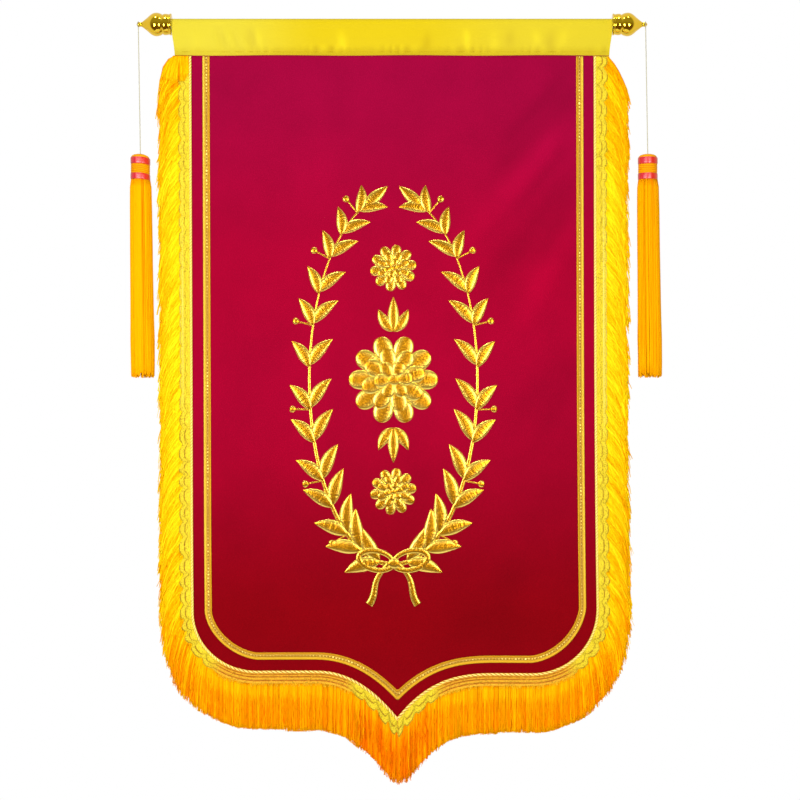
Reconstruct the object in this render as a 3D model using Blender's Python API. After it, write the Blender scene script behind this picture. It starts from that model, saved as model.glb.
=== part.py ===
"""Velvet honor banner hanging from its rod, with fringe, trim and two tassels.

Units are metres. X runs along the rod, Z points up and the front faces -Y.
The origin lies on the rod's axis, halfway along it.
"""

import math
import random

import bmesh
import bpy
from mathutils import Matrix, Vector

# Clearance between pieces that touch on the real banner.
GAP = 0.0003

# Rod, and the satin heading that is folded over it.
ROD_RADIUS = 0.007
ROD_SIDES = 24
HEADING_THICKNESS = 0.001
HEADING_HALF_TOP = 0.3194
HEADING_HALF_HEM = 0.3149
HEADING_HEM_Z = -0.045
HEADING_COLUMNS = 18
HEADING_LEG_ROWS = 3
HEADING_ARC_ROWS = 8
HEADING_RIPPLE = 0.0007
HEADING_WAVES = 61.0

# Velvet panel. The seam line is the inner edge of the fringe's tape.
PANEL_THICKNESS = 0.002
PANEL_TOP_Z = -0.037
PANEL_ROWS = 19
PANEL_COLUMNS = {"corner": 6, "flat": 4, "ogee": 6}
SEAM_HALF = 0.2915
HEM_Z = -0.9375
TIP_Z = -1.0041
TRIMMINGS_TOP_Z = -0.0465
CURVE_STEPS = 24

# The two halves of the lower edge differ a little: the corner's two radii, the
# height of the flat hem, the half width and the power of the ogee that runs to
# the tip, how much longer the fringe's locks are on its slope, and how far
# inside the seam line the trim's outer edge lies.
HALF_COLUMNS = (
    "corner_width", "corner_height", "hem_z", "ogee_half", "ogee_power", "lock_gain", "trim_inset")
LEFT_HALF = dict(zip(HALF_COLUMNS, (0.090, 0.084, -0.9366, 0.118, 2.22, 0.06, 0.0160)))
RIGHT_HALF = dict(zip(HALF_COLUMNS, (0.095, 0.095, -0.9402, 0.150, 2.85, 0.14, 0.0150)))

# The cloth hangs a little askew: it drifts to +X as it goes down, most at the hem.
DRIFT_AT_ROD = 0.0005
DRIFT_PER_METRE = 0.0030
DRIFT_AT_HEM = 0.0040
DRIFT_HEM_POWER = 6

# Soft diagonal folds of the velvet: both ends, half width, and height to the front.
FOLD_COLUMNS = ("start_x", "start_z", "end_x", "end_z", "half_width", "height")
FOLDS = (
    (0.268, -0.085, 0.125, -0.240, 0.020, -0.0040),
    (0.275, -0.125, 0.060, -0.375, 0.026, 0.0040),
    (0.270, -0.215, 0.120, -0.400, 0.020, -0.0030),
    (0.268, -0.285, 0.170, -0.450, 0.020, 0.0025),
    (0.265, -0.470, 0.165, -0.600, 0.024, -0.0030),
    (-0.240, -0.560, -0.080, -0.700, 0.045, 0.0020),
)
FOLD_FREE_MARGIN = 0.0255
FOLD_START_INSIDE = 0.010
FOLD_FULL_INSIDE = 0.036

# The lower corners curl to the front and the middle bellies to the back.
CORNER_CURL = 0.006
CURL_FROM_X = 0.12
CURL_TO_X = 0.32
CURL_FROM_Z = -0.50
CURL_TO_Z = -0.95
BELLY = 0.003

# Fringe: a woven tape on the panel's margin, and thread locks on its outer edge.
TAPE_WIDTH = 0.0232
TAPE_THICKNESS = 0.0016
PANEL_UNDER_TAPE = 0.022
LOCK_PITCH = 0.0118
LOCK_LENGTH = 0.0655
LOCK_LENGTH_SPREAD = 0.045
LOCK_THICKNESS = 0.0030
LOCK_STAGGER = 0.0006
LOCK_SEED = 7

# Stops down a lock, with the slit on each side as a share of its width and
# its thickness as a share of the full one. Locks at the hem skip the first.
LOCK_STOP_COLUMNS = ("share", "slit", "thickness")
LOCK_STOPS = (
    (0.22, 0.08, 0.90),
    (0.55, 0.08, 1.00),
    (1.00, 0.12, 0.62),
)
DROOP_STEPS = 40
DROOP_START = math.radians(80)
DROOP_END = math.radians(2)
LEAN_FROM = 0.5
LEAN_POWER = 1.3

# Distances from the tip: within the first the locks hang straight, and between the
# next two their gain in length grows to its full share. Near the tip it turns
# into a loss.
STRAIGHT_WITHIN = 0.153
GAIN_FROM = 0.078
GAIN_FULL = 0.042
LOSS_WITHIN = 0.016
LOSS_AT_TIP = 0.08

# Gold trim ribbon on the velvet. Halfway round each corner it lies further in.
TRIM_WIDTH = 0.0104
TRIM_CORNER_INSET = 0.0050
TRIM_THICKNESS = 0.001
TRIM_PITCH = 0.026

# Turned finials: distance from the heading's end, and radius.
FINIAL_SIDES = 24
SOCKET_DEPTH = 0.015
FINIAL_PROFILE = (
    (0.0000, 0.0152),
    (0.0010, 0.0157),
    (0.0028, 0.0150),
    (0.0070, 0.0152),
    (0.0108, 0.0150),
    (0.0130, 0.0146),
    (0.0152, 0.0154),
    (0.0182, 0.0164),
    (0.0220, 0.0169),
    (0.0255, 0.0163),
    (0.0285, 0.0149),
    (0.0315, 0.0127),
    (0.0345, 0.0100),
    (0.0375, 0.0076),
    (0.0400, 0.0056),
    (0.0420, 0.0041),
    (0.0437, 0.0032),
    (0.0455, 0.0032),
    (0.0475, 0.0034),
    (0.0495, 0.0022),
)
FINIAL_LENGTH = 0.0506

# Strings from the finials' knobs to the tassels.
STRING_RADIUS = 0.0007
STRING_POINTS = 24
KNOB_FROM_TIP = 0.0025
KNOB_RADIUS = 0.0033
STRING_SWAY = 0.0030

# Tassels. Heights run down from the head's top.
TASSEL_TOP_Z = -0.1877
TASSEL_SIDES = 14
HEAD_PROFILE = (
    (-0.0014, 0.0078),
    (-0.0040, 0.0126),
    (-0.0049, 0.0132),
    (-0.0050, 0.0126),
    (-0.0148, 0.0126),
    (-0.0149, 0.0136),
    (-0.0280, 0.0136),
    (-0.0281, 0.0126),
    (-0.0374, 0.0126),
)
SKIRT_ROOT_Z = -0.0378
SKIRT_RINGS = (0.0134, 0.0078, 0.0022)
SKIRT_LENGTH = 0.288
SKIRT_RAGGED = 0.035

# Stops down the skirt, with how far it spreads and how full its locks are there.
SKIRT_STOP_COLUMNS = ("share", "spread", "fullness")
SKIRT_STOPS = (
    (0.10, 1.08, 0.90),
    (0.50, 1.13, 0.84),
    (1.00, 1.22, 0.55),
)
SKIRT_LEAN = 0.0036
SKIRT_SPLIT = 0.0014
SKIRT_SPLIT_WITHIN = 0.2
SKIRT_SLIT_X = 0.0040

# Red bands round each tassel's head.
BAND_SIDES = 20
BAND_THICKNESS = 0.0016
BAND_ROUNDING = 0.0012
BAND_SPANS = {"upper": (-0.0147, -0.0053), "lower": (-0.0371, -0.0284)}
BAND_SEAT_RADIUS = 0.0126


def clear_scene():
    """Remove whatever is in the scene."""
    for item in list(bpy.data.objects):
        bpy.data.objects.remove(item, do_unlink=True)


def finish(name, colour, roughness, metallic=0.0):
    """Make one material for one kind of surface."""
    material = bpy.data.materials.new(name)
    material.use_nodes = True
    shader = material.node_tree.nodes["Principled BSDF"]
    shader.inputs["Base Color"].default_value = (*colour, 1.0)
    shader.inputs["Roughness"].default_value = roughness
    shader.inputs["Metallic"].default_value = metallic
    return material


def add_object(name, data, material):
    """Put mesh or curve data in the scene as one named piece."""
    data.materials.append(material)
    piece = bpy.data.objects.new(name, data)
    bpy.context.scene.collection.objects.link(piece)
    return piece


def mesh_from(name, bm, sharp_angle=40.0):
    """Turn an edit mesh into mesh data with outward faces and soft shading."""
    bmesh.ops.recalc_face_normals(bm, faces=bm.faces)
    mesh = bpy.data.meshes.new(name)
    bm.to_mesh(mesh)
    bm.free()
    mesh.shade_smooth()
    mesh.set_sharp_from_angle(angle=math.radians(sharp_angle))
    return mesh


def smooth_step(low, high, value):
    """Rise from 0 at low to 1 at high, level at both ends."""
    share = min(1.0, max(0.0, (value - low) / (high - low)))
    return share * share * (3.0 - 2.0 * share)


def drift(z):
    """Sideways shift of the hanging cloth at height z."""
    down = abs(z)
    return DRIFT_AT_ROD + DRIFT_PER_METRE * down + DRIFT_AT_HEM * down ** DRIFT_HEM_POWER


def fold_height(x, z):
    """Height of the velvet's folds towards the front."""
    height = 0.0
    for row in FOLDS:
        fold = dict(zip(FOLD_COLUMNS, row))
        start = Vector((fold["start_x"], fold["start_z"]))
        run = Vector((fold["end_x"], fold["end_z"])) - start
        offset = Vector((x, z)) - start
        along = offset.dot(run) / run.length_squared
        across = (offset - run * along).length / fold["half_width"]
        ends = smooth_step(-0.05, 0.25, along) * smooth_step(1.1, 0.55, along)
        height += fold["height"] * ends * math.exp(-across * across)
    return height


def hang_y(x, z):
    """Place of the cloth's middle surface across its depth."""
    inside = SEAM_HALF - FOLD_FREE_MARGIN - abs(x - drift(z))
    folds = fold_height(x, z) * smooth_step(FOLD_START_INSIDE, FOLD_FULL_INSIDE, inside)
    curl = smooth_step(CURL_FROM_X, CURL_TO_X, abs(x)) * smooth_step(CURL_FROM_Z, CURL_TO_Z, z)
    belly = math.sin(math.pi * smooth_step(PANEL_TOP_Z, HEM_Z, z))
    return -folds - CORNER_CURL * curl + BELLY * belly


def seam_sections(half):
    """One half of the seam line, drawn on the left, in sections of points with outward normals.

    The half runs down the side, round the corner, along the flat hem and
    down the ogee to the tip, which lies on the centre line.
    """
    width = half["corner_width"]
    height = half["corner_height"]
    reach = half["ogee_half"]
    power = half["ogee_power"]
    drop = half["hem_z"] - TIP_Z
    corner_top = half["hem_z"] + height
    flat_start = -(SEAM_HALF - width)
    side = []
    for z in (TRIMMINGS_TOP_Z, corner_top):
        side.append((Vector((-SEAM_HALF, z)), Vector((-1.0, 0.0))))
    bend = []
    for step in range(CURVE_STEPS + 1):
        angle = math.pi / 2 * step / CURVE_STEPS
        point = Vector((flat_start - width * math.cos(angle), corner_top - height * math.sin(angle)))
        normal = Vector((-math.cos(angle) / width, -math.sin(angle) / height)).normalized()
        bend.append((point, normal))
    flat = []
    for x in (flat_start, -reach):
        flat.append((Vector((x, half["hem_z"])), Vector((0.0, -1.0))))
    ogee = []
    for step in range(CURVE_STEPS + 1):
        share = step / CURVE_STEPS
        slope = -drop * power / reach * share ** (power - 1.0)
        point = Vector((-reach * (1.0 - share), half["hem_z"] - drop * share ** power))
        ogee.append((point, Vector((slope, -1.0)).normalized()))
    return side, bend, flat, ogee


def meet_centre_line(points):
    """Trim or lengthen a line so that it ends on the centre line."""
    kept = [point for point in points if point.x < -1e-6]
    last = kept[-1]
    run = points[len(kept)] - last if len(kept) < len(points) else last - kept[-2]
    kept.append(last + run * (-last.x / run.x))
    return kept


def resample(points, count):
    """Spread count + 1 points evenly along a line of points."""
    lengths = [0.0]
    for before, after in zip(points, points[1:]):
        lengths.append(lengths[-1] + (after - before).length)
    spread = []
    index = 0
    for step in range(count + 1):
        target = lengths[-1] * step / count
        while index < len(points) - 2 and lengths[index + 1] < target:
            index += 1
        share = (target - lengths[index]) / (lengths[index + 1] - lengths[index])
        spread.append(points[index].lerp(points[index + 1], share))
    return spread


def line_length(points):
    """Length of a line of points."""
    return sum((after - before).length for before, after in zip(points, points[1:]))


def beside(section, offset, corner_inset=0.0):
    """Line beside a section of the seam line; the inset grows to its full size halfway."""
    points = []
    for step, (point, normal) in enumerate(section):
        inset = corner_inset * math.sin(math.pi * step / (len(section) - 1))
        points.append(point + normal * (offset - inset))
    return points


def half_lines(half, offsets, pitch, corner_inset=0.0):
    """One half of each line that runs beside the seam line, matched point by point."""
    lines = [[] for _ in offsets]
    sections = seam_sections(half)
    for number, section in enumerate(sections):
        inset = corner_inset if number == 1 else 0.0
        shifted = [beside(section, offset, inset) for offset in offsets]
        if number == len(sections) - 1:
            shifted = [meet_centre_line(line) for line in shifted]
        count = max(1, round(line_length(shifted[-1]) / pitch))
        for line, points in zip(lines, shifted):
            line.extend(resample(points, count)[1 if line else 0:])
    return lines


def join_halves(left, right):
    """Whole lines from two halves, from the left top round to the right top."""
    lines = []
    for left_half, right_half in zip(left, right):
        mirrored = [Vector((-point.x, point.y)) for point in reversed(right_half[:-1])]
        lines.append([Vector((p.x + drift(p.y), p.y)) for p in left_half + mirrored])
    return lines


def border_lines(offsets, pitch):
    """Whole lines at the same distances beside both halves of the seam line."""
    return join_halves(half_lines(LEFT_HALF, offsets, pitch), half_lines(RIGHT_HALF, offsets, pitch))


def trim_lines():
    """Outer and inner edge of the trim ribbon."""
    halves = []
    for half in (LEFT_HALF, RIGHT_HALF):
        offsets = (-half["trim_inset"], -half["trim_inset"] - TRIM_WIDTH)
        halves.append(half_lines(half, offsets, TRIM_PITCH, TRIM_CORNER_INSET))
    return join_halves(*halves)


def on_cloth(point, forward):
    """Place a point of the border a given distance in front of the cloth's middle."""
    return Vector((point.x, hang_y(point.x, point.y) - forward, point.y))


def band_quads(bm, rings, closed=True):
    """Join rings of vertices with quads, one ring to the next."""
    for ring, following in zip(rings, rings[1:]):
        count = len(ring)
        for index in range(count if closed else count - 1):
            after = (index + 1) % count
            bm.faces.new((ring[index], ring[after], following[after], following[index]))


def ring_at(bm, radius, height, sides):
    """Ring of vertices round Z."""
    turns = [2.0 * math.pi * index / sides for index in range(sides)]
    return [bm.verts.new((radius * math.cos(turn), radius * math.sin(turn), height)) for turn in turns]


def turned_mesh(name, profile, sides):
    """Turn a profile of (height, radius) pairs round Z; a radius of 0 is a pole."""
    bm = bmesh.new()
    rings = []
    for height, radius in profile:
        if radius == 0.0:
            rings.append([bm.verts.new((0.0, 0.0, height))])
            continue
        rings.append(ring_at(bm, radius, height, sides))
    for ring, following in zip(rings, rings[1:]):
        if len(ring) == 1 or len(following) == 1:
            pole, rim = (ring[0], following) if len(ring) == 1 else (following[0], ring)
            for index in range(sides):
                bm.faces.new((pole, rim[index], rim[(index + 1) % sides]))
        else:
            band_quads(bm, (ring, following))
    return mesh_from(name, bm)


def make_rod(material):
    """Plain round rod that ends inside the finials' sockets."""
    half = HEADING_HALF_TOP + SOCKET_DEPTH
    profile = ((-half, 0.0), (-half, ROD_RADIUS), (half, ROD_RADIUS), (half, 0.0))
    rod = add_object("rod", turned_mesh("rod", profile, ROD_SIDES), material)
    rod.rotation_euler.y = math.radians(90)


def make_finials(material):
    """Turned finials with a socket for the rod's end."""
    bore = ROD_RADIUS + GAP
    floor = SOCKET_DEPTH + GAP
    profile = [(floor, 0.0), (floor, bore), (0.0, bore)]
    profile.extend(FINIAL_PROFILE)
    profile.append((FINIAL_LENGTH, 0.0))
    for side, name in ((-1, "finial_left"), (1, "finial_right")):
        finial = add_object(name, turned_mesh(name, profile, FINIAL_SIDES), material)
        finial.location.x = side * (HEADING_HALF_TOP + GAP)
        finial.rotation_euler.y = side * math.radians(90)


def heading_section():
    """Middle line of the sleeve from the front hem over the rod to the back hem, as (y, z)."""
    radius = ROD_RADIUS + GAP + HEADING_THICKNESS / 2
    hem = Vector((-(PANEL_THICKNESS / 2 + GAP + HEADING_THICKNESS / 2), HEADING_HEM_Z))
    reach = math.acos(radius / hem.length)
    leave = math.atan2(hem.y, hem.x) - reach
    front = []
    touch = Vector((radius * math.cos(leave), radius * math.sin(leave)))
    for row in range(HEADING_LEG_ROWS):
        front.append(hem.lerp(touch, row / HEADING_LEG_ROWS))
    arc = []
    sweep = 2.0 * math.pi + 2.0 * leave + math.pi
    facet_clearance = 1.0 / math.cos(sweep / HEADING_ARC_ROWS / 2)
    for row in range(HEADING_ARC_ROWS + 1):
        angle = leave - sweep * row / HEADING_ARC_ROWS
        arc.append(Vector((math.cos(angle), math.sin(angle))) * radius * facet_clearance)
    back = [Vector((-point.x, point.y)) for point in reversed(front)]
    return front + arc + back


def make_heading(material):
    """Satin sleeve over the rod, whose two legs hold the panel's top edge."""
    bm = bmesh.new()
    section = heading_section()
    rows = []
    for point in section:
        down = smooth_step(0.0, HEADING_HEM_Z, point.y)
        half = HEADING_HALF_TOP + (HEADING_HALF_HEM - HEADING_HALF_TOP) * down
        row = []
        for column in range(HEADING_COLUMNS + 1):
            x = half * (2.0 * column / HEADING_COLUMNS - 1.0)
            ripple = HEADING_RIPPLE * 4.0 * down * (1.0 - down)
            wave = math.sin(HEADING_WAVES * x + 2.0 * math.sin(HEADING_WAVES * x / 3))
            bulge = ripple * (1.0 + wave)
            y = point.x + math.copysign(bulge, point.x)
            row.append(bm.verts.new((x, y, point.y)))
        rows.append(row)
    band_quads(bm, rows, closed=False)
    heading = add_object("heading", mesh_from("heading", bm), material)
    thicken(heading, HEADING_THICKNESS)


def thicken(piece, thickness):
    """Give a sheet its thickness, half to each side."""
    solidify = piece.modifiers.new("Thickness", "SOLIDIFY")
    solidify.thickness = thickness
    solidify.offset = 0.0
    solidify.use_even_offset = True


def make_panel(material):
    """Velvet sheet with the banner's outline and its soft folds."""
    halves = []
    for half in (LEFT_HALF, RIGHT_HALF):
        feet = []
        for section, (name, count) in zip(seam_sections(half)[1:], PANEL_COLUMNS.items()):
            line = [point + normal * PANEL_UNDER_TAPE for point, normal in section]
            if name == "ogee":
                line = meet_centre_line(line)
            feet.extend(resample(line, count)[1 if feet else 0:])
        halves.append(feet)
    outline = halves[0] + [Vector((-point.x, point.y)) for point in reversed(halves[1][:-1])]
    bm = bmesh.new()
    columns = []
    for foot in outline:
        column = []
        for row in range(PANEL_ROWS + 1):
            z = PANEL_TOP_Z + (foot.y - PANEL_TOP_Z) * row / PANEL_ROWS
            x = foot.x + drift(z)
            column.append(bm.verts.new((x, hang_y(x, z), z)))
        columns.append(column)
    band_quads(bm, columns, closed=False)
    panel = add_object("panel", mesh_from("panel", bm), material)
    thicken(panel, PANEL_THICKNESS)


def ribbon_rings(bm, outer, inner, thickness):
    """Rings of a flat ribbon that lies in front of the cloth between two lines."""
    back = PANEL_THICKNESS / 2 + GAP
    front = back + thickness
    rings = []
    for outside, inside in zip(outer, inner):
        corners = ((outside, back), (outside, front), (inside, front), (inside, back))
        rings.append([bm.verts.new(on_cloth(point, forward)) for point, forward in corners])
    return rings


def make_trim(material):
    """Flat gold ribbon that follows the seam line on the velvet."""
    outer, inner = trim_lines()
    bm = bmesh.new()
    rings = ribbon_rings(bm, outer, inner, TRIM_THICKNESS)
    band_quads(bm, rings)
    bm.faces.new(rings[0])
    bm.faces.new(rings[-1])
    add_object("trim", mesh_from("trim", bm), material)


def droop(side, lean, length, stops):
    """Offsets of a hanging thread from its root at the given shares of its length.

    A thread on a side leaves the tape outward and soon turns down. At the
    hem, where lean is 0, it hangs straight.
    """
    offsets = []
    place = Vector((0.0, 0.0))
    for step in range(DROOP_STEPS):
        share = (step + 0.5) / DROOP_STEPS
        angle = lean * (DROOP_END + (DROOP_START - DROOP_END) * (1.0 - share) ** 2)
        place = place + Vector((side * math.sin(angle), -math.cos(angle))) * length / DROOP_STEPS
        if any(abs((step + 1) / DROOP_STEPS - stop) < 0.5 / DROOP_STEPS for stop in stops):
            offsets.append(place.copy())
    return offsets


def thread_lean(outside, inside):
    """Side and lean of the threads at one place of the tape: 1 on a side, 0 at the hem."""
    normal = (outside - inside).normalized()
    lean = max(0.0, (abs(normal.x) - LEAN_FROM) / (1.0 - LEAN_FROM)) ** LEAN_POWER
    if abs(outside.x) < STRAIGHT_WITHIN:
        lean = 0.0
    return math.copysign(1.0, normal.x), lean


def lock_gain(point):
    """Extra share of a lock's length on the slopes beside the tip, less at the tip itself."""
    offset = point.x - drift(point.y)
    half = LEFT_HALF if offset < 0.0 else RIGHT_HALF
    rise = smooth_step(GAIN_FROM, GAIN_FULL, abs(offset))
    loss = smooth_step(LOSS_WITHIN, 0.0, abs(offset))
    return half["lock_gain"] * rise * (1.0 - loss) - LOSS_AT_TIP * loss


def add_lock(bm, root, first, second, length, forward):
    """Grow one thread lock out of a face of the tape's outer edge.

    first and second are the places at the lock's two sides: point, side and lean.
    """
    stops = [dict(zip(LOCK_STOP_COLUMNS, row)) for row in LOCK_STOPS]
    if max(first[2], second[2]) == 0.0:
        stops = stops[1:]
    shares = [stop["share"] for stop in stops]
    falls = [droop(side, lean, length, shares) for _, side, lean in (first, second)]
    y = hang_y(first[0].x, first[0].y) - forward
    loops = [root]
    for stop, first_fall, second_fall in zip(stops, *falls):
        start = first[0] + first_fall
        end = second[0] + second_fall
        left = start.lerp(end, stop["slit"])
        right = start.lerp(end, 1.0 - stop["slit"])
        half = LOCK_THICKNESS * stop["thickness"] / 2
        corners = ((left, half), (left, -half), (right, -half), (right, half))
        loops.append([bm.verts.new((point.x, y + depth, point.y)) for point, depth in corners])
    band_quads(bm, loops)
    bm.faces.new(loops[-1])


def make_fringe(material):
    """Woven tape in front of the panel's margin, with thread locks on its outer edge."""
    draws = random.Random(LOCK_SEED)
    outer, inner = border_lines((TAPE_WIDTH, 0.0), LOCK_PITCH)
    bm = bmesh.new()
    rings = ribbon_rings(bm, outer, inner, TAPE_THICKNESS)
    bm.faces.new(rings[0])
    bm.faces.new(rings[-1])
    middle = PANEL_THICKNESS / 2 + GAP + TAPE_THICKNESS / 2
    places = [(outside, *thread_lean(outside, inside)) for outside, inside in zip(outer, inner)]
    for number, (ring, following) in enumerate(zip(rings, rings[1:])):
        for index in (1, 2, 3):
            after = (index + 1) % 4
            bm.faces.new((ring[index], ring[after], following[after], following[index]))
        root = [ring[0], ring[1], following[1], following[0]]
        length = LOCK_LENGTH * (1.0 + draws.uniform(-LOCK_LENGTH_SPREAD, LOCK_LENGTH_SPREAD))
        length *= 1.0 + lock_gain(outer[number])
        forward = middle + draws.uniform(-LOCK_STAGGER, LOCK_STAGGER)
        add_lock(bm, root, places[number], places[number + 1], length, forward)
    add_object("fringe", mesh_from("fringe", bm, 60.0), material)


def knob_x(side):
    """Place of the finial's knob along the rod; side is -1 or 1."""
    return side * (HEADING_HALF_TOP + GAP + FINIAL_LENGTH - KNOB_FROM_TIP)


def make_strings(material):
    """Strings that hang from the finials' knobs and hold the tassels."""
    top_z = -(KNOB_RADIUS + GAP)
    bottom_z = TASSEL_TOP_Z + GAP
    for side, name in ((-1, "string_left"), (1, "string_right")):
        start = Vector((knob_x(side), 0.0, top_z))
        end = Vector((knob_x(side) + STRING_SWAY, 0.0, bottom_z))
        curve = bpy.data.curves.new(name, "CURVE")
        curve.dimensions = "3D"
        curve.bevel_depth = STRING_RADIUS
        curve.bevel_resolution = 2
        curve.use_fill_caps = True
        spline = curve.splines.new("POLY")
        spline.points.add(STRING_POINTS - 1)
        for index, point in enumerate(spline.points):
            point.co = (*start.lerp(end, index / (STRING_POINTS - 1)), 1.0)
        add_object(name, curve, material)


def skirt_point(radius, angle, stop, spread, sign):
    """Place of a skirt point at a share of its length; sign tells the side of the slit."""
    lean = SKIRT_LEAN * stop
    split = SKIRT_SPLIT * smooth_step(0.0, SKIRT_SPLIT_WITHIN, stop) * sign
    x = radius * spread * math.cos(angle) + lean + split
    return Vector((x, radius * spread * math.sin(angle), SKIRT_ROOT_Z - SKIRT_LENGTH * stop))


def add_skirt_lock(bm, root, corners, sign, reach):
    """Grow one lock of the skirt out of a face of the head; corners are (radius, angle)."""
    loops = [root]
    for row in SKIRT_STOPS:
        stop = dict(zip(SKIRT_STOP_COLUMNS, row))
        share = stop["share"] * reach
        places = [skirt_point(radius, angle, share, stop["spread"], sign) for radius, angle in corners]
        centre = sum(places, Vector()) / len(places)
        loops.append([bm.verts.new(centre.lerp(place, stop["fullness"])) for place in places])
    band_quads(bm, loops)
    bm.faces.new(loops[-1])


def make_tassel(name, centre_x, seed, material):
    """Wound head whose lower face divides into the thread locks of the skirt."""
    draws = random.Random(seed)
    bm = bmesh.new()
    head = [ring_at(bm, radius, height, TASSEL_SIDES) for height, radius in HEAD_PROFILE]
    roots = [ring_at(bm, radius, SKIRT_ROOT_Z, TASSEL_SIDES) for radius in SKIRT_RINGS]
    crown = bm.verts.new((0.0, 0.0, 0.0))
    for index in range(TASSEL_SIDES):
        bm.faces.new((crown, head[0][index], head[0][(index + 1) % TASSEL_SIDES]))
    band_quads(bm, head + [roots[0]])
    bm.faces.new(roots[-1])
    step = 2.0 * math.pi / TASSEL_SIDES
    for number in range(len(roots) - 1):
        outer, inner = SKIRT_RINGS[number], SKIRT_RINGS[number + 1]
        for index in range(TASSEL_SIDES):
            after = (index + 1) % TASSEL_SIDES
            start, end = step * index, step * (index + 1)
            corners = ((outer, start), (outer, end), (inner, end), (inner, start))
            root = [roots[number][index], roots[number][after]]
            root += [roots[number + 1][after], roots[number + 1][index]]
            sign = math.copysign(1.0, outer * math.cos((start + end) / 2) - SKIRT_SLIT_X)
            add_skirt_lock(bm, root, corners, sign, 1.0 - draws.uniform(0.0, SKIRT_RAGGED))
    tassel = add_object(name, mesh_from(name, bm, 50.0), material)
    tassel.location = (centre_x, 0.0, TASSEL_TOP_Z)


def make_bands(side_name, centre_x, material):
    """Two smooth red bands round a tassel's head."""
    inside = BAND_SEAT_RADIUS + GAP
    outside = inside + BAND_THICKNESS
    for place, (low, high) in BAND_SPANS.items():
        name = f"band_{side_name}_{place}"
        bm = bmesh.new()
        profile = (
            (low, inside),
            (low, outside - BAND_ROUNDING),
            (low + BAND_ROUNDING, outside),
            (high - BAND_ROUNDING, outside),
            (high, outside - BAND_ROUNDING),
            (high, inside),
        )
        rings = []
        for index in range(BAND_SIDES):
            turn = Matrix.Rotation(2.0 * math.pi * index / BAND_SIDES, 3, "Z")
            rings.append([bm.verts.new(turn @ Vector((radius, 0.0, z))) for z, radius in profile])
        band_quads(bm, rings + [rings[0]])
        band = add_object(name, mesh_from(name, bm), material)
        band.location = (centre_x, 0.0, TASSEL_TOP_Z)


def build():
    """Make every piece of the banner."""
    clear_scene()
    velvet = finish("wine velvet", (0.36, 0.004, 0.03), 0.85)
    satin = finish("yellow satin", (0.85, 0.55, 0.06), 0.4)
    thread = finish("gold thread", (0.85, 0.42, 0.05), 0.5)
    ribbon = finish("gold ribbon", (0.75, 0.52, 0.16), 0.35, 0.7)
    red = finish("red winding", (0.55, 0.02, 0.02), 0.35)
    cream = finish("cream string", (0.8, 0.74, 0.5), 0.7)
    plating = finish("gold plating", (0.83, 0.62, 0.24), 0.12, 1.0)
    steel = finish("bright steel", (0.6, 0.6, 0.6), 0.3, 1.0)
    make_rod(steel)
    make_finials(plating)
    make_heading(satin)
    make_panel(velvet)
    make_trim(ribbon)
    make_fringe(thread)
    make_strings(cream)
    for side, side_name in ((-1, "left"), (1, "right")):
        centre_x = knob_x(side) + STRING_SWAY
        make_tassel(f"tassel_{side_name}", centre_x, LOCK_SEED + side, thread)
        make_bands(side_name, centre_x, red)


build()
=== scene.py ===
# %% [markdown]
# # Dressing an honor banner
# The banner's solids are already made to their real size. This lesson gives
# each of them its looks: velvet with its folds, satin, thread by thread fringe,
# braid, gilded turnings and padded gold embroidery. We load the solids first,
# because every new piece is placed by them.

import math

import bpy
import numpy as np
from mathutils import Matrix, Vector


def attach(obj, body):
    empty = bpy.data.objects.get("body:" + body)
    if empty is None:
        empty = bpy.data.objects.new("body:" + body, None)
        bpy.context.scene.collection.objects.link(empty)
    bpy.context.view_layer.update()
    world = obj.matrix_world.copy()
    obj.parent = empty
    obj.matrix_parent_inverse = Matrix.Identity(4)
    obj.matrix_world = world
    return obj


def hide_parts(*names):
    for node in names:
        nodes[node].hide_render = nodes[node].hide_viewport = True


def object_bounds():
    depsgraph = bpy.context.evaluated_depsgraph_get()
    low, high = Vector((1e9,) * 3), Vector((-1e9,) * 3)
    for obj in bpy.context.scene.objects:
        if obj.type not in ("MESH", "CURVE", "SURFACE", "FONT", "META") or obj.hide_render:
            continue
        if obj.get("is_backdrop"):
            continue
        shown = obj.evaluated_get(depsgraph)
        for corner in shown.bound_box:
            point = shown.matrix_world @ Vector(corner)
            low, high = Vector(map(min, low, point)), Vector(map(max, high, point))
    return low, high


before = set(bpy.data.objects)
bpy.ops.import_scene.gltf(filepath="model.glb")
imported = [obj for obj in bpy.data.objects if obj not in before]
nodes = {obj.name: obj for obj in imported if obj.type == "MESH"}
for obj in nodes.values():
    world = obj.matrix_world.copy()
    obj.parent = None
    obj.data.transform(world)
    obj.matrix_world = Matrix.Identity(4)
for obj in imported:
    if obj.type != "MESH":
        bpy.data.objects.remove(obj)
solid_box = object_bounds()
print("solids:", sorted(nodes))

# %% [markdown]
# ## The camera
# The photograph looks at the banner squarely from its middle. A long lens
# keeps the sides from spreading. One pixel of the photograph spans 1.45 mm of
# the cloth, so the camera's distance follows from its lens.

# %% Camera
FRAME_SIDE = 800
PIXEL = 0.00145
ROD_IN_PHOTO = (392.0, 24.5)
LENS = 85.0
SENSOR = 36.0


def add_object(name, data):
    """Put new data in the scene as an object."""
    made = bpy.data.objects.new(name, data)
    bpy.context.scene.collection.objects.link(made)
    return made


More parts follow.
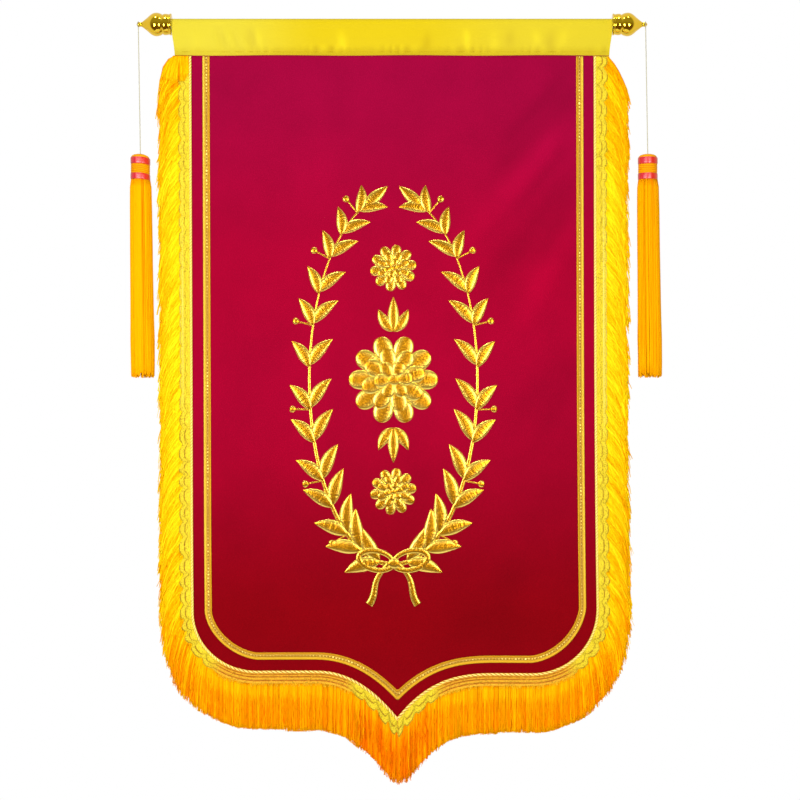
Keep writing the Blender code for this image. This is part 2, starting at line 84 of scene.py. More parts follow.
view_width = FRAME_SIDE * PIXEL
view_centre = Vector((
    (FRAME_SIDE / 2 - ROD_IN_PHOTO[0]) * PIXEL,
    0.0,
    (ROD_IN_PHOTO[1] - FRAME_SIDE / 2) * PIXEL,
))
camera_data = bpy.data.cameras.new("camera")
camera_data.lens = LENS
camera_data.sensor_width = SENSOR
camera = add_object("camera", camera_data)
camera.location = view_centre + Vector((0.0, -view_width * LENS / SENSOR, 0.0))
camera.rotation_euler = (math.radians(90), 0.0, 0.0)
bpy.context.scene.camera = camera
print("camera stands", round(-camera.location.y, 3), "m in front")

# %% [markdown]
# ## Helpers for shader nodes
# A node graph reads best when each line makes one node and says what goes into
# it. `node` does that, and the others name the sums, mixes and places that come
# often. Colours are written as they look on a screen and turned into light
# values.

# %% Node helpers
def colour(red, green, blue):
    """Screen colour from 0 to 255 as linear light with alpha."""
    linear = []
    for value in (red, green, blue):
        share = value / 255
        linear.append(share / 12.92 if share <= 0.04045 else ((share + 0.055) / 1.055) ** 2.4)
    return (*linear, 1.0)


def fill(tree, made, inputs):
    """Fill a node's inputs with values or with the sockets of other nodes."""
    for name, value in inputs.items():
        if isinstance(value, bpy.types.NodeSocket):
            tree.links.new(value, made.inputs[name])
        else:
            made.inputs[name].default_value = value


def node(tree, kind, inputs=None, **settings):
    """Make a node, set its options and fill its inputs."""
    made = tree.nodes.new("ShaderNode" + kind)
    for name, value in settings.items():
        setattr(made, name, value)
    fill(tree, made, inputs or {})
    return made


def compute(tree, operation, first, second=0.0, clamp=False):
    """One sum on one or two values."""
    return node(tree, "Math", {0: first, 1: second}, operation=operation, use_clamp=clamp).outputs[0]


def times(tree, first, second):
    """Product of two values."""
    return compute(tree, "MULTIPLY", first, second)


def ripple(tree, value, radians):
    """Sine wave along a value, with so many radians for each unit."""
    return compute(tree, "SINE", times(tree, value, radians))


def unit(tree, value):
    """Bring a wave that runs from -1 to 1 into the range from 0 to 1."""
    return node(tree, "Math", {0: value, 1: 0.5, 2: 0.5}, operation="MULTIPLY_ADD").outputs[0]


def blend(tree, factor, first, second, mode="MIX"):
    """Mix two colours."""
    mix = node(tree, "Mix", {0: factor, 6: first, 7: second}, data_type="RGBA", blend_type=mode)
    return mix.outputs[2]


def ramp(tree, value, low, high, start=0.0, end=1.0, step="SMOOTHSTEP"):
    """Map a value from one range to another, along a soft step or a straight line."""
    inputs = {"Value": value, "From Min": low, "From Max": high, "To Min": start, "To Max": end}
    return node(tree, "MapRange", inputs, interpolation_type=step).outputs["Result"]


def colour_ramp(tree, value, stops):
    """Colour that runs through a list of shares and screen colours."""
    made = node(tree, "ValToRGB", {"Fac": value})
    elements = made.color_ramp.elements
    for element, (share, shade) in zip(elements, (stops[0], stops[-1])):
        element.position = share
        element.color = colour(*shade)
    for share, shade in stops[1:-1]:
        elements.new(share).color = colour(*shade)
    return made.outputs["Color"]


def grey(tree, value):
    """Grey of a given value, to multiply a colour with."""
    return node(tree, "CombineColor", {"Red": value, "Green": value, "Blue": value}).outputs[0]


def attribute(tree, name):
    """Read a number that the mesh stores at its points."""
    return node(tree, "Attribute", attribute_name=name).outputs["Fac"]


def in_piece(tree):
    """Place on the piece, in metres."""
    return node(tree, "TexCoord").outputs["Object"]


def split(tree, vector):
    """The X, Y and Z of a vector."""
    return node(tree, "SeparateXYZ", {0: vector}).outputs


def run_and_turn(tree):
    """Metres along a piece and turns around it, as its mesh stores them."""
    parts = split(tree, node(tree, "UVMap", uv_map="along").outputs[0])
    return parts["X"], parts["Y"]


def noise(tree, place, scale, detail=2.0):
    """Noise from 0 to 1."""
    return node(tree, "TexNoise", {"Vector": place, "Scale": scale, "Detail": detail}).outputs["Fac"]


print("node helpers ready")

# %% [markdown]
# ## The studio
# The photograph has a white ground and soft, even light. Two large soft boxes
# stand left and right of the camera, two weaker ones hang above, and a pale
# world fills the shadows. Polished metal shows its surroundings, so glossy
# rays see a darker room behind the camera, as they would in a real studio.

# %% Lights and ground
WHITE = (1.0, 1.0, 1.0, 1.0)
ROOM_LIGHT = 0.50
BEHIND_CAMERA_LOW = (0.146, 0.073, 0.02, 1.0)
BEHIND_CAMERA_HIGH = (0.35, 0.305, 0.10, 1.0)
LOW_TO_HIGH = (-0.35, 0.35)
ROOM_AROUND = (0.88, 0.78, 0.60, 1.0)
DARK_TO_LIGHT = (-0.42, -0.10)
LIGHTS_FACE = Vector((0.0, 0.0, -0.45))
SOFT_BOXES = {
    # name: place, width, height, watts
    "left": ((-0.78, -1.42, -0.42), 0.52, 0.60, 16.5),
    "right": ((0.72, -1.60, -0.45), 0.52, 0.60, 15.5),
    "ceiling_left": ((-0.40, -0.55, 1.15), 0.20, 0.20, 4.5),
    "ceiling_right": ((0.40, -0.55, 1.15), 0.20, 0.20, 3.0),
}


def add_soft_box(name, place, width, height, watts):
    """Rectangular light that faces the middle of the banner."""
    light = bpy.data.lights.new("soft_box_" + name, "AREA")
    light.shape = "RECTANGLE"
    light.size = width
    light.size_y = height
    light.energy = watts
    box = add_object("soft_box_" + name, light)
    box.location = place
    box.rotation_euler = (LIGHTS_FACE - box.location).to_track_quat("-Z", "Y").to_euler()
    box.visible_camera = False


def build_world():
    """White ground for the camera, pale room for the light, darker room in reflections."""
    world = bpy.data.worlds.new("studio")
    world.use_nodes = True
    tree = world.node_tree
    tree.nodes.clear()
    rays = node(tree, "LightPath").outputs
    place = split(tree, node(tree, "TexCoord").outputs["Generated"])
    height = ramp(tree, place["Z"], *LOW_TO_HIGH, step="LINEAR")
    behind = blend(tree, height, BEHIND_CAMERA_LOW, BEHIND_CAMERA_HIGH)
    seen = blend(tree, ramp(tree, place["Y"], *DARK_TO_LIGHT), behind, ROOM_AROUND)
    grounds = []
    for shade, strength in ((WHITE, 1.0), (WHITE, ROOM_LIGHT), (seen, 1.0)):
        grounds.append(node(tree, "Background", {"Color": shade, "Strength": strength}).outputs[0])
    gloss = node(tree, "MixShader", {0: rays["Is Glossy Ray"], 1: grounds[1], 2: grounds[2]})
    sight = node(tree, "MixShader", {0: rays["Is Camera Ray"], 1: gloss.outputs[0], 2: grounds[0]})
    node(tree, "OutputWorld", {"Surface": sight.outputs[0]})
    bpy.context.scene.world = world


for name, (place, width, height, watts) in SOFT_BOXES.items():
    add_soft_box(name, place, width, height, watts)
build_world()
bpy.context.scene.view_settings.view_transform = "Standard"
print("lights:", len(SOFT_BOXES))

# %% [markdown]
# ## Effects that several finishes share
# Three effects come back in the banner's materials, so each is a node group that
# is built once: the uneven tone of dyed fibre, the turns of a plied cord, and a
# mask that grows towards the hem, where the light of the photograph is warmer.

# %% Shared effect groups
MOTTLE_INPUTS = {"Broad Scale": 8.0, "Fine Scale": 600.0, "Broad Amount": 0.1, "Fine Amount": 0.1}


def start_group(name, inputs, outputs):
    """Shader node group with named inputs and outputs."""
    group = bpy.data.node_groups.new(name, "ShaderNodeTree")
    for label, value in inputs.items():
        socket = group.interface.new_socket(label, in_out="INPUT", socket_type="NodeSocketFloat")
        socket.default_value = value
    for label in outputs:
        group.interface.new_socket(label, in_out="OUTPUT", socket_type="NodeSocketFloat")
    return group, group.nodes.new("NodeGroupInput").outputs, group.nodes.new("NodeGroupOutput")


def use_group(tree, group, inputs):
    """Place a group in a material with its own values."""
    return node(tree, "Group", inputs, node_tree=group).outputs


def build_mottle():
    """Uneven tone: a slow drift of shade and a fine speckle, both around 1."""
    group, given, result = start_group("Fibre Mottle", MOTTLE_INPUTS, ("Shade", "Fine"))
    place = in_piece(group)
    total = 1.0
    for name, detail in (("Broad", 3.0), ("Fine", 2.0)):
        speckle = noise(group, place, given[name + " Scale"], detail)
        swing = times(group, compute(group, "SUBTRACT", speckle, 0.5), given[name + " Amount"])
        total = compute(group, "ADD", swing, total)
    fill(group, result, {"Shade": total, "Fine": speckle})
    return group


def build_ply_twist():
    """Turns of a plied cord: 1 on the crown of each ply and 0 in the groove."""
    group, given, result = start_group("Ply Twist", {"Turns": 100.0, "Plies": 2.0}, ("Crown",))
    run, around = run_and_turn(group)
    phase = compute(group, "SUBTRACT", around, times(group, run, given["Turns"]))
    angle = times(group, times(group, phase, given["Plies"]), math.tau)
    fill(group, result, {"Crown": unit(group, compute(group, "COSINE", angle))})
    return group


def build_hem_mask():
    """Mask by height: 0 above the upper level and 1 below the lower one."""
    group, given, result = start_group("Hem Mask", {"Upper": -0.2, "Lower": -0.9}, ("Mask",))
    height = split(group, in_piece(group))["Z"]
    fill(group, result, {"Mask": ramp(group, height, given["Upper"], given["Lower"])})
    return group


mottle_group = build_mottle()
ply_group = build_ply_twist()
hem_group = build_hem_mask()
print("groups:", [group.name for group in bpy.data.node_groups])

# %% [markdown]
# ## How every finish is made
# All finishes follow one recipe. A base colour is worked out, the mottle breaks
# it up, and a bump gives the relief of thread or pile that is too fine for the
# mesh. So `new_material` starts a finish and `finish` ends it.

# %% Start and end of a finish
def towards_hem(tree, upper, lower):
    """Mask that grows from the upper level down to the lower one."""
    return use_group(tree, hem_group, {"Upper": upper, "Lower": lower})["Mask"]


def shaded(tree, base, mottle):
    """Multiply a colour by the mottle's shade; also returns its fine noise."""
    placed = use_group(tree, mottle_group, dict(zip(MOTTLE_INPUTS, mottle)))
    return blend(tree, 1.0, base, grey(tree, placed["Shade"]), "MULTIPLY"), placed["Fine"]


def new_material(name, roughness, metallic=0.0):
    """Material with one Principled shader, returned with its node tree."""
    material = bpy.data.materials.new(name)
    material.use_nodes = True
    tree = material.node_tree
    fill(tree, tree.nodes["Principled BSDF"], {"Roughness": roughness, "Metallic": metallic})
    return material, tree


def finish(material, base, mottle=None, relief=None, height=None, specular=0.5, **inputs):
    """Give a material its colour, mottle (scales, amounts), relief (depth, strength) and more inputs.

    The relief follows the height, or else the mottle's fine noise.
    """
    tree = material.node_tree
    shader = tree.nodes["Principled BSDF"]
    fine = None
    if mottle:
        base, fine = shaded(tree, base, mottle)
    fill(tree, shader, {"Base Color": base, "Specular IOR Level": specular})
    fill(tree, shader, {name.replace("_", " ").title(): value for name, value in inputs.items()})
    if relief:
        bump = {"Height": fine if height is None else height, "Distance": relief[0], "Strength": relief[1]}
        fill(tree, shader, {"Normal": node(tree, "Bump", bump).outputs["Normal"]})
    return material


print("a finish starts with new_material and ends with finish")

# %% [markdown]
# ## Velvet
# Velvet is a short dense pile. Seen from the front it swallows light, and where it turns away the tips of the
# pile catch a pink sheen. The colour carries painted light: a painted pink sheen makes it a rosy wine at the
# top, painted shade makes it a deeper, browner wine at the hem, and the folds' ridges and troughs are painted
# lighter and darker. The Principled shader's sheen is made for this kind of fuzz and adds the rest.

# %% Wine velvet
def make_velvet():
    """Wine-red pile with painted light: painted lighter ridges, painted shade in troughs and towards the hem,
    painted pink sheen at the top.
    """
    material, tree = new_material("wine_velvet", 0.9)
    # Painted sheen: pinker near the top. Painted shade: a deeper, browner wine towards the hem.
    base = blend(tree, towards_hem(tree, -0.40, -0.04), colour(148, 0, 38), colour(142, 2, 50))
    base = blend(tree, towards_hem(tree, -0.50, -0.88), base, colour(122, 0, 9))
    # Painted light and shade of the folds and patches: lighter on ridges, darker in troughs.
    fold_shade = ramp(tree, attribute(tree, "fold_shade"), -1.0, 1.0, 0.84, 1.13, "LINEAR")
    base = blend(tree, 1.0, base, grey(tree, fold_shade), "MULTIPLY")
    return finish(
        material, base, (16.0, 640.0, 0.24, 0.22), (0.0006, 0.6),
        specular=0.04, sheen_weight=0.06, sheen_roughness=0.4, sheen_tint=colour(255, 60, 130))


wine_velvet = make_velvet()
print("made", wine_velvet.name)

# %% [markdown]
# ## Satin
# The heading is a bright yellow satin. Satin floats its warp on the face, so its gloss is soft and a little
# streaky along the threads. A fine weave in the bump and a medium roughness do this. Its colour also carries
# painted light: wrinkle ridges painted lighter and troughs darker, a painted sheen on the left and right, and
# painted shade towards the hem.

# %% Yellow satin
SATIN_THREADS_PER_METRE = 1400.0


def make_satin():
    """Yellow satin with fine threads and painted light: lighter wrinkle ridges, darker troughs, a painted
    sheen where it lies to the light, painted shade towards its hem.
    """
    material, tree = new_material("yellow_satin", 0.42)
    # Painted light and shade of the wrinkles: lighter on ridges, darker in troughs.
    fold_shade = ramp(tree, attribute(tree, "fold_shade"), -1.0, 1.0)
    base = blend(tree, fold_shade, colour(172, 140, 0), colour(228, 206, 20))
    # Painted sheen: a paler yellow on the left and right parts.
    base = blend(tree, attribute(tree, "painted_sheen"), base, colour(204, 188, 48))
    # Painted shade: darker towards the heading's hem.
    base = blend(tree, attribute(tree, "foot"), base, colour(180, 154, 10))
    place = split(tree, in_piece(tree))
    warp, weft = (ripple(tree, place[axis], math.pi * SATIN_THREADS_PER_METRE) for axis in "XZ")
    weave = unit(tree, times(tree, warp, weft))
    return finish(material, base, (14.0, 900.0, 0.08, 0.05), (0.0002, 0.5), weave, specular=0.06)


yellow_satin = make_satin()
print("made", yellow_satin.name)

# %% [markdown]
# ## Threads and cords
# The fringe is rayon, bright yellow where the light falls on it. Painted shade makes it amber where threads
# lie deep, and painted warmer light makes it orange towards the hem. Each thread carries three numbers that
# its mesh stores: `tone`, its own dye lot, `warmth`, how orange it is, and `root`, how much painted shade a
# point gets, most where the thread leaves the braid.

# %% Fringe thread
RAYON_DYES = ((0.0, (252, 218, 20)), (0.35, (251, 190, 4)), (0.66, (249, 152, 0)), (1.0, (236, 108, 0)))
ROOT_SHADE = colour(190, 120, 40)
RAYON_GLOSS = colour(255, 200, 60)
STREAKS_ALONG_AND_ROUND = (90.0, 9.0, 1.0)
TONE_TO_STREAK = 60.0
SOFT_MASS = (1.0, 4.5, 1.0)


def soft_normal(tree):
    """Shade a mass of fine fibres as one soft surface instead of as many hard rods."""
    facing = node(tree, "NewGeometry").outputs["Normal"]
    wide = node(tree, "VectorMath", {0: facing, 1: SOFT_MASS}, operation="MULTIPLY").outputs[0]
    return node(tree, "VectorMath", {0: wide}, operation="NORMALIZE").outputs[0]


def make_thread(name, tone_swing, streak_swing):
    """Rayon thread whose colour follows its tone, its warmth and the painted shade of its root."""
    material, tree = new_material(name, 0.6)
    tone = attribute(tree, "tone")
    along = node(tree, "UVMap", uv_map="along").outputs[0]
    along = node(tree, "Mapping", {0: along, "Scale": STREAKS_ALONG_AND_ROUND}).outputs[0]
    other = node(tree, "CombineXYZ", {"Z": times(tree, tone, TONE_TO_STREAK)}).outputs[0]
    place = node(tree, "VectorMath", {0: along, 1: other}, operation="ADD").outputs[0]
    swing = times(tree, compute(tree, "SUBTRACT", tone, 0.5), tone_swing)
    streak = times(tree, compute(tree, "SUBTRACT", noise(tree, place, 1.0), 0.5), streak_swing)
    swing = compute(tree, "ADD", swing, streak)
    dye = colour_ramp(tree, compute(tree, "ADD", attribute(tree, "warmth"), swing, clamp=True), RAYON_DYES)
    # Painted shade: the dye darkened where the root attribute is high.
    dye_in_root_shade = blend(tree, 1.0, dye, ROOT_SHADE, "MULTIPLY")
    base = blend(tree, attribute(tree, "root"), dye, dye_in_root_shade)
    return finish(material, base, specular=0.10, specular_tint=RAYON_GLOSS, normal=soft_normal(tree))


fringe_thread = make_thread("fringe_thread", 0.50, 0.50)
tassel_thread = make_thread("tassel_thread", 0.20, 0.15)
print("made", fringe_thread.name, tassel_thread.name)

# %% Cords and braid
CORD_MOTTLE = (40.0, 1200.0, 0.16, 0.10)
CORDS = {
    #     name: colours of crown, painted groove shade and crown in the painted warmer hem light, turns a
    #         metre, plies, roughness, metallic
    "braid_loop": ((255, 236, 56), (248, 200, 20), (246, 190, 36), 700.0, 1.0, 0.5, 0.0),
    "gilt_outer": ((250, 218, 74), (214, 166, 26), (228, 176, 36), 700.0, 1.0, 0.42, 0.2),
    "gilt_inner": ((236, 184, 34), (200, 142, 10), (212, 148, 14), 700.0, 1.0, 0.45, 0.2),
    "cream_string": ((206, 202, 176), (150, 140, 104), (206, 202, 176), 500.0, 2.0, 0.6, 0.0),
}


def make_cord_finish(name, crown_colour, groove_shade_colour, hem_colour, turns, plies, roughness, metallic):
    """Plied cord: bright on its crowns, painted shade in its grooves, painted warmer light at the hem."""
    material, tree = new_material(name, roughness, metallic)
    crown = use_group(tree, ply_group, {"Turns": turns, "Plies": plies})["Crown"]
    # Painted light: the crowns turn warmer towards the hem.
    lit = blend(tree, towards_hem(tree, -0.72, -0.96), colour(*crown_colour), colour(*hem_colour))
    # Painted shade in the grooves between the plies.
    base = blend(tree, ramp(tree, crown, 0.15, 0.75), colour(*groove_shade_colour), lit)
    return finish(material, base, CORD_MOTTLE, (0.0004, 0.8), crown, specular=0.15)


def make_braid_face():
    """Nested cords of the braid, with painted brown shadow in its grooves, painted warmer light along the
    hem, and small stitches across them.
    """
    material, tree = new_material("braid_face", 0.55)
    run, around = run_and_turn(tree)
    slant = times(tree, around, 190.0)
    crossing = compute(tree, "SINE", compute(tree, "ADD", times(tree, run, 1500.0), slant))
    stitch = times(tree, ripple(tree, run, 2300.0), crossing)
    hem = attribute(tree, "hem")
    # Painted light: along the hem the colours turn warmer.
    lit = blend(tree, hem, colour(247, 221, 32), colour(248, 190, 40))
    low = blend(tree, hem, colour(224, 184, 16), colour(214, 132, 8))
    pale = blend(tree, hem, colour(255, 240, 120), colour(255, 216, 96))
    base = blend(tree, ramp(tree, stitch, 0.15, 0.7, 0.0, 0.45), lit, low)
    base = blend(tree, ramp(tree, stitch, -0.35, -0.85, 0.0, 0.5), base, pale)
    beads = compute(tree, "SINE", compute(tree, "ADD", times(tree, run, 1256.0), slant))
    gaps = times(tree, ramp(tree, beads, 0.55, 0.95, 0.0, 0.75), hem)
    base = blend(tree, gaps, base, colour(196, 96, 4))
    place = in_piece(tree)
    specks = ramp(tree, noise(tree, place, 620.0, 1.0), 0.54, 0.63, 0.0, 0.62)
    base = blend(tree, specks, base, colour(156, 118, 10))
    base = blend(tree, times(tree, attribute(tree, "pale"), 0.8), base, colour(255, 240, 130))
    dashes = ramp(tree, noise(tree, place, 300.0), 0.30, 0.50, 0.35, 1.0)
    # Painted shadow: brown along the grooves beside the wandering cords.
    brown = blend(tree, hem, colour(144, 78, 0), colour(178, 84, 4))
    base = blend(tree, times(tree, attribute(tree, "groove"), dashes), base, brown)
    return finish(material, base, (60.0, 1200.0, 0.20, 0.10), (0.0003, 0.7), stitch, specular=0.15)


def make_braid_edge_finish():
    """Two-ply edge cord: pale on the sides, bright at the hem with painted brown shade between its plies."""
    material, tree = new_material("braid_edge", 0.5)
    crown, hem = attribute(tree, "crown"), attribute(tree, "hem")
    lit = blend(tree, hem, colour(253, 232, 122), colour(255, 226, 124))
    # Painted shade between the plies, deeper along the hem.
    low = blend(tree, hem, colour(200, 152, 44), colour(178, 112, 24))
    base = blend(tree, ramp(tree, crown, 0.12, 0.56), low, lit)
    return finish(material, base, CORD_MOTTLE, (0.0004, 0.5), crown, specular=0.15)


braid_face = make_braid_face()
braid_edge = make_braid_edge_finish()
cords = {name: make_cord_finish(name, *values) for name, values in CORDS.items()}
print("made", braid_face.name, braid_edge.name, list(cords))

# %% Gold ribbon and windings
BAND_REDS_AND_PAINTED_STREAKS = (
    #     share of the turn round the band from its back, and the red there: the front is 0.75; the pale stops
    #     at 0.705 and 0.765 are painted highlights
    (0.50, (190, 12, 40)), (0.62, (196, 14, 44)), (0.685, (200, 20, 50)),
    (0.705, (236, 92, 96)), (0.735, (214, 40, 52)), (0.765, (232, 84, 84)),
    (0.80, (206, 26, 24)), (0.84, (212, 28, 8)), (1.0, (200, 24, 6)),
)
BAND_THREADS = 70


def make_ribbon():
    """Flat metallic ribbon with the ribs of its weave, painted darker in their troughs."""
    material, tree = new_material("gold_ribbon", 0.44, 0.30)
    run, around = run_and_turn(tree)
    ribs = times(tree, ripple(tree, run, 3200.0), 0.4)
    height = compute(tree, "ADD", ribs, ripple(tree, around, 38.0))
    # Painted shade: the low parts of the ribs are darker.
    base = blend(tree, ramp(tree, height, -1.0, 1.0), colour(152, 106, 0), colour(196, 148, 12))
    return finish(material, base, (50.0, 900.0, 0.24, 0.14), (0.0003, 0.7), height)


def make_link_gilt():
    """Bright gilt of the chain's small links, some of them tarnished."""
    material, tree = new_material("gilt_link", 0.34, 0.40)
    wear = ramp(tree, noise(tree, in_piece(tree), 260.0), 0.40, 0.62)
    base = blend(tree, wear, colour(212, 166, 34), colour(255, 236, 120))
    return finish(material, base, (70.0, 900.0, 0.25, 0.1), (0.0002, 0.4))


def make_red_winding():
    """Glossy red winding of fine vertical threads, with two painted highlights as pale streaks down its
    front.
    """
    material, tree = new_material("red_winding", 0.26)
    around = run_and_turn(tree)[1]
    threads = ripple(tree, around, math.tau * BAND_THREADS)
    # Painted shade: slightly darker between the threads.
    light = grey(tree, ramp(tree, threads, -1.0, 0.4, 0.92, 1.0))
    base = blend(tree, 1.0, colour_ramp(tree, around, BAND_REDS_AND_PAINTED_STREAKS), light, "MULTIPLY")
    return finish(
        material, base, (120.0, 900.0, 0.12, 0.04), (0.0001, 0.25), threads,
        coat_weight=0.6, coat_roughness=0.30)


def make_head_winding():
    """Wound yellow thread, with painted shade, more orange, between its turns."""
    material, tree = new_material("head_winding", 0.5)
    # Painted shade in the grooves between the turns.
    groove = ramp(tree, attribute(tree, "groove"), 0.35, 0.95)
    base = blend(tree, groove, colour(232, 156, 0), colour(206, 98, 0))
    return finish(material, base, (150.0, 1200.0, 0.20, 0.08), (0.0002, 0.4), specular=0.05)


gold_ribbon = make_ribbon()
gilt_link = make_link_gilt()
red_winding = make_red_winding()
head_winding = make_head_winding()
print("made", gold_ribbon.name, gilt_link.name, red_winding.name, head_winding.name)

# %% [markdown]
# ## Metals and embroidery gold
# The finials are thin bright plating over a turned core: full metal, low roughness, and faint wipe marks in
# the roughness so that the mirror isn't perfect. The rod is drawn steel with lines along it. The embroidery
# is a metallic thread laid side by side, so its ridges live in the mesh and the material adds their grain and
# a painted highlight along the edges of each motif.

# %% Metals
def make_plating():
    """Polished gold plating under clear lacquer, with faint wipe marks."""
    material, tree = new_material("gold_plating", 0.07, 1.0)
    marks = node(tree, "TexNoise", {"Scale": 90.0, "Detail": 4.0, "Distortion": 1.5}).outputs["Fac"]
    return finish(
        material, colour(240, 206, 44), (60.0, 700.0, 0.10, 0.02), (0.0001, 0.10), marks,
        roughness=ramp(tree, marks, 0.35, 0.75, 0.05, 0.13), coat_weight=0.5, coat_roughness=0.04)


def make_steel():
    """Drawn steel with fine lines along the rod."""
    material, tree = new_material("bright_steel", 0.3, 1.0)
    stretched = node(tree, "Mapping", {0: in_piece(tree), "Scale": (4.0, 900.0, 900.0)}).outputs[0]
    lines = noise(tree, stretched, 1.0)
    base = blend(tree, lines, colour(170, 172, 176), colour(214, 214, 218))
    return finish(
        material, base, None, (0.0001, 0.3), lines, roughness=ramp(tree, lines, 0.3, 0.7, 0.22, 0.4))


def make_embroidery():
    """Metallic embroidery thread with a painted highlight along the edges of each motif."""
    material, tree = new_material("embroidery_gold", 0.24, 0.85)
    base = blend(tree, attribute(tree, "edge"), colour(196, 136, 12), colour(255, 234, 116))
    return finish(material, base, (90.0, 1300.0, 0.40, 0.20), (0.0003, 0.5))


gold_plating = make_plating()
bright_steel = make_steel()
embroidery_gold = make_embroidery()
print("made", gold_plating.name, bright_steel.name, embroidery_gold.name)

# %% [markdown]
# ## The shape that the solids hang in
# New pieces must lie on the solids, so the lesson repeats the few rules that
# shape them: how the cloth drifts and folds, and the line of the seam with its
# two unequal corners and the pointed tip. Everything is written once here and
# used by the velvet, the braid, the ribbon and the fringe.

# %% Hanging shape of the cloth
PANEL_TOP_Z = -0.037
SEAM_HALF = 0.2915
HEM_Z = -0.9375
TIP_Z = -1.0041
TRIMMINGS_TOP_Z = -0.0465
TRIM_WIDTH = 0.0104
TRIM_CORNER_INSET = 0.0050
DRIFT_AT_ROD = 0.0005
DRIFT_PER_METRE = 0.0030
DRIFT_AT_HEM = 0.0040
DRIFT_HEM_POWER = 6
FOLDS = (
    # start x, start z, end x, end z, half width, height
    (0.268, -0.085, 0.125, -0.240, 0.020, -0.0040),
    (0.275, -0.125, 0.060, -0.375, 0.026, 0.0040),
    (0.270, -0.215, 0.120, -0.400, 0.020, -0.0030),
    (0.268, -0.285, 0.170, -0.450, 0.020, 0.0025),
    (0.265, -0.470, 0.165, -0.600, 0.024, -0.0030),
    (-0.240, -0.560, -0.080, -0.700, 0.045, 0.0020),
)
FOLD_FREE_MARGIN = 0.0255
FOLD_INSIDE = (0.010, 0.036)
CORNER_CURL = 0.006
BELLY = 0.003


def smooth_step(low, high, value):
    """Rise from 0 at low to 1 at high, level at both ends."""
    share = np.clip((value - low) / (high - low), 0.0, 1.0)
    return share * share * (3.0 - 2.0 * share)


def to_unit(vectors):
    """The same directions with length one."""
    return vectors / np.linalg.norm(vectors, axis=-1, keepdims=True)


def drift(z):
    """Sideways shift of the hanging cloth at height z."""
    down = np.abs(z)
    return DRIFT_AT_ROD + DRIFT_PER_METRE * down + DRIFT_AT_HEM * down ** DRIFT_HEM_POWER


def fold_height(x, z, folds):
    """Height of a set of folds towards the front."""
    height = np.zeros(np.shape(x))
    for start_x, start_z, end_x, end_z, half_width, rise in folds:
        run_x, run_z = end_x - start_x, end_z - start_z
        along = ((x - start_x) * run_x + (z - start_z) * run_z) / (run_x ** 2 + run_z ** 2)
        aside = np.hypot(x - start_x - run_x * along, z - start_z - run_z * along) / half_width
        ends = smooth_step(-0.05, 0.25, along) * smooth_step(1.1, 0.55, along)
        height = height + rise * ends * np.exp(-aside ** 2)
    return height


def inside_trim(x, z):
    """How far a place lies inside the trim's inner edge."""
    return SEAM_HALF - FOLD_FREE_MARGIN - np.abs(x - drift(z))


def hang_y(x, z):
    """Depth of the cloth's middle surface, as the solids have it."""
    folds = fold_height(x, z, FOLDS) * smooth_step(*FOLD_INSIDE, inside_trim(x, z))
    curl = smooth_step(0.12, 0.32, np.abs(x)) * smooth_step(-0.50, -0.95, z)
    belly = np.sin(np.pi * smooth_step(PANEL_TOP_Z, HEM_Z, z))
    return -folds - CORNER_CURL * curl + BELLY * belly


print("deepest fold:", round(float(hang_y(np.array(0.2), np.array(-0.16)) * 1000), 2), "mm")

# %% Sizes of the seam line
HALF_COLUMNS = (
    "corner_width", "corner_height", "hem_z", "ogee_half", "ogee_power", "lock_gain", "trim_inset")
LEFT_HALF = dict(zip(HALF_COLUMNS, (0.090, 0.084, -0.9366, 0.118, 2.22, 0.06, 0.0160)))
RIGHT_HALF = dict(zip(HALF_COLUMNS, (0.095, 0.095, -0.9402, 0.150, 2.85, 0.14, 0.0150)))
CURVE_STEPS = 24
TAPE_WIDTH = 0.0232
PANEL_UNDER_TAPE = 0.022
BORDER_COUNTS = (400, 84, 40, 70)
print("tape:", TAPE_WIDTH * 1000, "mm wide")

# %% Seam line and the lines beside it
def seam_sections(half):
    """Left half of the seam line: side, corner, flat hem and ogee, with outward normals."""
    width, height = half["corner_width"], half["corner_height"]
    reach, power = half["ogee_half"], half["ogee_power"]
    drop = half["hem_z"] - TIP_Z
    corner_top = half["hem_z"] + height
    flat_start = -(SEAM_HALF - width)
    side = [(Vector((-SEAM_HALF, z)), Vector((-1.0, 0.0))) for z in (TRIMMINGS_TOP_Z, corner_top)]
    bend = []
    for step in range(CURVE_STEPS + 1):
        angle = math.pi / 2 * step / CURVE_STEPS
        point = Vector((flat_start - width * math.cos(angle), corner_top - height * math.sin(angle)))
        bend.append((point, Vector((-math.cos(angle) / width, -math.sin(angle) / height)).normalized()))
    flat = [(Vector((x, half["hem_z"])), Vector((0.0, -1.0))) for x in (flat_start, -reach)]
    ogee = []
    for step in range(CURVE_STEPS + 1):
        share = step / CURVE_STEPS
        slope = -drop * power / reach * share ** (power - 1.0)
        point = Vector((-reach * (1.0 - share), half["hem_z"] - drop * share ** power))
        ogee.append((point, Vector((slope, -1.0)).normalized()))
    return side, bend, flat, ogee


def meet_centre_line(points):
    """Trim or lengthen a line so that it ends on the centre line."""
    kept = [point for point in points if point.x < -1e-6]
    last = kept[-1]
    run = points[len(kept)] - last if len(kept) < len(points) else last - kept[-2]
    kept.append(last + run * (-last.x / run.x))
    return kept


def run_along(line):
    """Distance along a line at each of its points."""
    return np.concatenate(([0.0], np.cumsum(np.hypot(*np.diff(line, axis=0).T))))


def follow(distance, run, line):
    """Places on a line at distances along it."""
    return np.stack([np.interp(distance, run, line[:, axis]) for axis in (0, 1)], axis=-1)


def resample(points, count):
    """Spread count + 1 points evenly along a line of points."""
    line = np.array([tuple(point) for point in points])
    run = run_along(line)
    return [Vector(place) for place in follow(np.linspace(0.0, run[-1], count + 1), run, line)]


